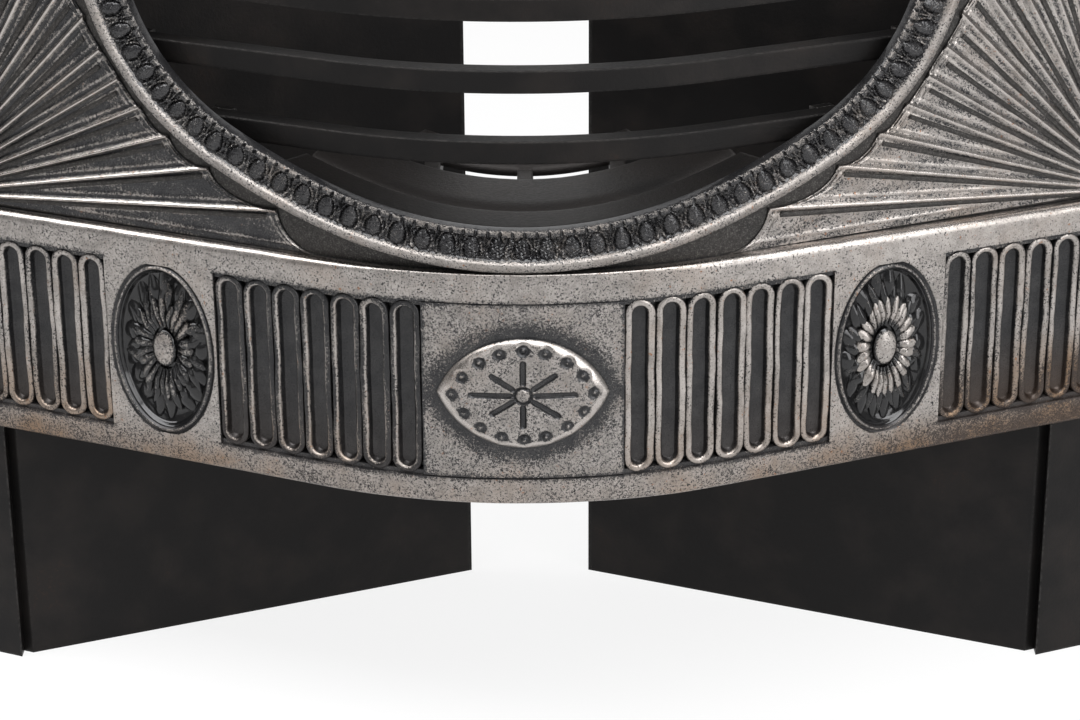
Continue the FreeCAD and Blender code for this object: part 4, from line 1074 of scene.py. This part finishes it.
def buildFan(side, name):
    f = fan
    angle, length, gap, foldGap = fanColumns()
    # rows from the pivot outward, closer together towards the scalloped end
    petalRows = np.linspace(*f["petalShares"], f["alongSteps"])
    endRows = np.linspace(*f["endShares"], f["endSteps"])
    share = np.concatenate([petalRows[:1], petalRows, endRows, endRows[-1:]])[:, None]
    along = share * length
    gap, foldGap, toEnd = gap * along, foldGap * along, length - along
    crest = swell(foldGap, f["crestRun"][side])
    second = swell(gap - f["secondGap"], f["secondRun"]) * ease(*f["secondStart"], share)
    lip = sum(part * swell(toEnd - place, run) for place, run, part in f["outlines"])
    height = f["hollow"] + (f["crest"][side] - f["hollow"]) * crest
    height = np.maximum(height, np.maximum(f["hollow"] + f["secondRise"] * second, f["outline"] * lip))
    # rub of the folds: wear on the crests, with a painted highlight on the left fan
    rub = f["petalRub"][side] + f["foldWearAndHighlight"][side] * swell(foldGap, f["foldRubRun"])
    rub = rub + f["secondRub"] * second + f["outlineRub"] * lip
    rub -= f["sootLoss"] * swell(foldGap - f["sootGap"], f["sootRun"])
    rub = np.clip(rub + 0.06 * np.sin(along / mm / 7 + angle * 80), 0, 1)
    for edge in (np.s_[0], np.s_[-1], np.s_[:, 0], np.s_[:, -1]):
        height[edge], rub[edge] = f["sunkEdge"], 0
    reach, z = side * (pivotReach - along * np.cos(angle)), pivotZ + along * np.sin(angle)
    casting = Casting()
    index = casting.grid(onFront(reach, front["apronWall"] - height * mm, z), rub, turned=side < 0)
    casting.close(index, turned=side > 0)
    # hub where the folds meet
    turn = np.linspace(0, math.pi, f["hubSteps"])
    dome = np.array(f["hubDome"])
    radius = f["hubRadius"] * dome[:, None]
    rise = (0.2 + f["hubRise"] * np.sqrt(1 - np.minimum(dome, 0.9999) ** 2))[:, None] * mm
    reach, z = side * pivotReach + radius * np.cos(turn), front["apronTop"] + radius * np.sin(turn)
    hubRub = np.interp(dome, [0, 0.9, 1], [0.9, 0.7, 0.1])[:, None]
    casting.grid(onFront(reach, front["apronWall"] - rise, z), hubRub)
    casting.build(name, fanIron, "grate_frame", sharpAngle=50)


buildFan(1, "rightFan")
buildFan(-1, "leftFan")

# the nest: three dished bars with rounded tops on three ribs
nest = {
    "drop": 13 * mm,
    "wall": 9 * mm,
    # half reach, and depths of the near and the far edge
    "bars": [(172 * mm, 32 * mm, 73 * mm), (172 * mm, 77 * mm, 134 * mm), (150 * mm, 165 * mm, 199 * mm)],
    "barSteps": 91,
    "roundRun": 17 * mm,
    "roundSteps": 9,
    "roundDrop": (6.5 * mm, 0.2 * mm),  # at the near and the far edge of a bar
    "ribPitch": 60 * mm,
    "ribWidth": 10 * mm,
    "ribInset": 1 * mm,
    "ribSteps": 24,
    "castShare": 0.3,              # of the skin's waves, drawn closer by the scale
    "castScale": 2.3,
    "castLift": 0.1 * mm,
}


def reachAt(x, depth):
    # distance along the bow of a plan x at a depth
    radius = front["noseRadius"] - depth
    bent = np.arcsin(np.clip(np.abs(x) / radius, 0, math.sin(front["cant"])))
    along = np.maximum(np.abs(x) - radius * math.sin(front["cant"]), 0) / math.cos(front["cant"])
    return np.sign(x) * (front["noseRadius"] * bent + along)


def buildNest():
    n = nest
    topRadius = ring["radius"] - ring["width"] + n["drop"]
    casting = Casting()
    turn = np.radians(np.linspace(0, 90, n["roundSteps"]))
    for half, near, far in n["bars"]:
        run = n["roundRun"] * (1 - np.cos(turn))
        nearFall, farFall = (drop * (1 - np.sin(turn)) for drop in n["roundDrop"])
        depth = np.concatenate([[near], near + run, far - run[::-1], [far, near]])
        below = np.concatenate([[n["wall"]], nearFall, farFall[::-1], [n["wall"], n["wall"]]])
        reach, depth = np.meshgrid(np.linspace(-half, half, n["barSteps"]), depth)
        skin = n["castShare"] * handCast(reach * n["castScale"], depth * n["castScale"])
        below = below[:, None] - skin - n["castLift"]
        below[-2:], below[0] = n["wall"], n["wall"]
        x = onFront(reach, depth, 0)[..., 0]
        z = ringCentre - np.sqrt((topRadius + np.maximum(below, 0)) ** 2 - x ** 2)
        casting.sides(casting.grid(onFront(reach, depth, z), 0.0))
    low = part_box("nest_grate")[0].z
    nearest, farthest = n["bars"][0][1] + n["ribInset"], n["bars"][-1][2] - n["ribInset"]
    depth = np.linspace(nearest, farthest, n["ribSteps"])
    for middle in (-n["ribPitch"], 0, n["ribPitch"]):
        right, left = middle + n["ribWidth"] / 2, middle - n["ribWidth"] / 2
        rows = []
        for x, upper in ((right, 0), (right, 1), (left, 1), (left, 0), (right, 0)):
            high = ringCentre - math.sqrt((topRadius + n["wall"] / 2) ** 2 - x ** 2)
            rows.append(onFront(reachAt(np.full(len(depth), x), depth), depth, high if upper else low))
        casting.sides(casting.grid(np.stack(rows), 0.0), turned=True)
    grittyIron = makeBlackIron("grittyNest", 0.5, 0.15, grit=1.7)
    piece = casting.build("dishedNest", grittyIron, "nest", sharpAngle=50)
    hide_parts("nest_grate")


buildNest()

# the plain castings and fasteners keep their solids
finishes = {
    "blacked_front_iron": makeBlackIron("blackedFront", 0.42, 0.25, speckAbove=front["apronTop"]),
    "blackened_iron": makeBlackIron("blackenedIron", 0.52, 0.12),
    "fastener_iron": makeBlackIron("forgedIron", 0.48, 0.6),
    "burnished_iron": apronIron,
}
for part in frame["record"]["subparts"]:
    node = frame["nodes"][part["node"]]
    node.data.materials.clear()
    node.data.materials.append(finishes[part["material_slot"]])

# studio: a pale floor that curves up behind, soft lamps above and in front; sizes in metres
studio = {
    "floorColour": (0.86, 0.86, 0.86, 1),
    "floorHalf": 6.0,
    "wallDistance": 3.2,
    "wallHeight": 3.5,
    "bendRadius": 1.0,
    "bendSteps": 16,
    "white": (1, 1, 1, 1),
    "whiteShare": 0.85,            # how far the paper shows as plain white to the camera and in the metal
    "skyStrength": 0.24,
}


def makeStudio():
    s = studio
    radius = s["bendRadius"]
    profile = [(-s["floorHalf"], 0.0)]
    for t in np.linspace(0, math.pi / 2, s["bendSteps"]):
        profile.append((s["wallDistance"] + radius * math.sin(t) - radius, radius - radius * math.cos(t)))
    profile.append((s["wallDistance"], s["wallHeight"]))
    points = [(x, y, z) for y, z in profile for x in (-s["floorHalf"], s["floorHalf"])]
    faces = [(2 * i, 2 * i + 1, 2 * i + 3, 2 * i + 2) for i in range(len(profile) - 1)]
    mesh = bpy.data.meshes.new("studioFloor")
    mesh.from_pydata(points, [], faces)
    mesh.shade_smooth()
    floor = bpy.data.objects.new("studioFloor", mesh)
    bpy.context.scene.collection.objects.link(floor)
    material, start = newMaterial("palePaper")
    cameraRay = start.node("LightPath", {}, {})
    glossyRay = start.node("LightPath", {}, {}, 3)
    seen = cameraRay.math("MAXIMUM", cameraRay, glossyRay)
    paper = start.node("BsdfDiffuse", {}, {0: s["floorColour"]})
    white = start.node("Emission", {}, {0: s["white"], 1: 1.0})
    both = start.node("MixShader", {}, {0: seen * s["whiteShare"], 1: paper, 2: white})
    start.node("OutputMaterial", {}, {0: both})
    mesh.materials.append(material)
    world = bpy.data.worlds.new("studioSky")
    world.use_nodes = True
    sky = world.node_tree.nodes["Background"]
    sky.inputs[0].default_value = s["white"]
    sky.inputs[1].default_value = s["skyStrength"]
    bpy.context.scene.world = world


lamps = {
    # place, aim, size, watts
    "topSoft": ((-0.3, -0.5, 2.1), (-0.1, -0.05, 0.3), (4.6, 1.1), 106),
    "frontSoft": ((-1.3, -2.4, 1.5), (0.0, 0.0, 0.25), (1.6, 1.6), 7),
    "rightSoft": ((1.8, -1.6, 1.0), (0.0, 0.0, 0.25), (1.2, 1.6), 24),
}


def makeLamps():
    for name, (place, aim, size, watts) in lamps.items():
        data = bpy.data.lights.new(name, "AREA")
        data.shape = "RECTANGLE"
        data.size, data.size_y = size
        data.energy = watts
        lamp = bpy.data.objects.new(name, data)
        lamp.location = place
        lamp.rotation_euler = (Vector(aim) - Vector(place)).to_track_quat("-Z", "Y").to_euler()
        bpy.context.scene.collection.objects.link(lamp)


makeStudio()
makeLamps()

# camera fitted to the apron's edges in the photograph's 1080 by 720 frame
camera = {
    "focalPixels": 3000.0,
    "framePixels": 1080.0,
    "sensor": 36.0,
    "pitch": math.radians(22.66),
    "roll": math.radians(-0.344),
    "yaw": math.radians(-0.515),
    "aside": 25.5 * mm,
    "away": 1678 * mm,
    "above": 798 * mm,             # over the apron's lower edge
}


def makeCamera():
    c = camera
    data = bpy.data.cameras.new("photoCamera")
    data.sensor_width = c["sensor"]
    data.lens = c["focalPixels"] / c["framePixels"] * c["sensor"]
    view = bpy.data.objects.new("photoCamera", data)
    flat = math.cos(c["pitch"])
    ahead = Vector((math.sin(c["yaw"]) * flat, math.cos(c["yaw"]) * flat, -math.sin(c["pitch"])))
    level = Vector((math.cos(c["yaw"]), -math.sin(c["yaw"]), 0))
    upright = level.cross(ahead)
    right = math.cos(c["roll"]) * level + math.sin(c["roll"]) * upright
    up = math.cos(c["roll"]) * upright - math.sin(c["roll"]) * level
    place = Vector((c["aside"], front["noseY"] - c["away"], front["apronLow"] + c["above"]))
    axes = Matrix((right, up, -ahead)).transposed()
    view.matrix_world = Matrix.Translation(place) @ axes.to_4x4()
    bpy.context.scene.collection.objects.link(view)
    bpy.context.scene.camera = view


makeCamera()
bpy.context.scene.view_settings.view_transform = "Standard"
print("studio, lamps and camera set")
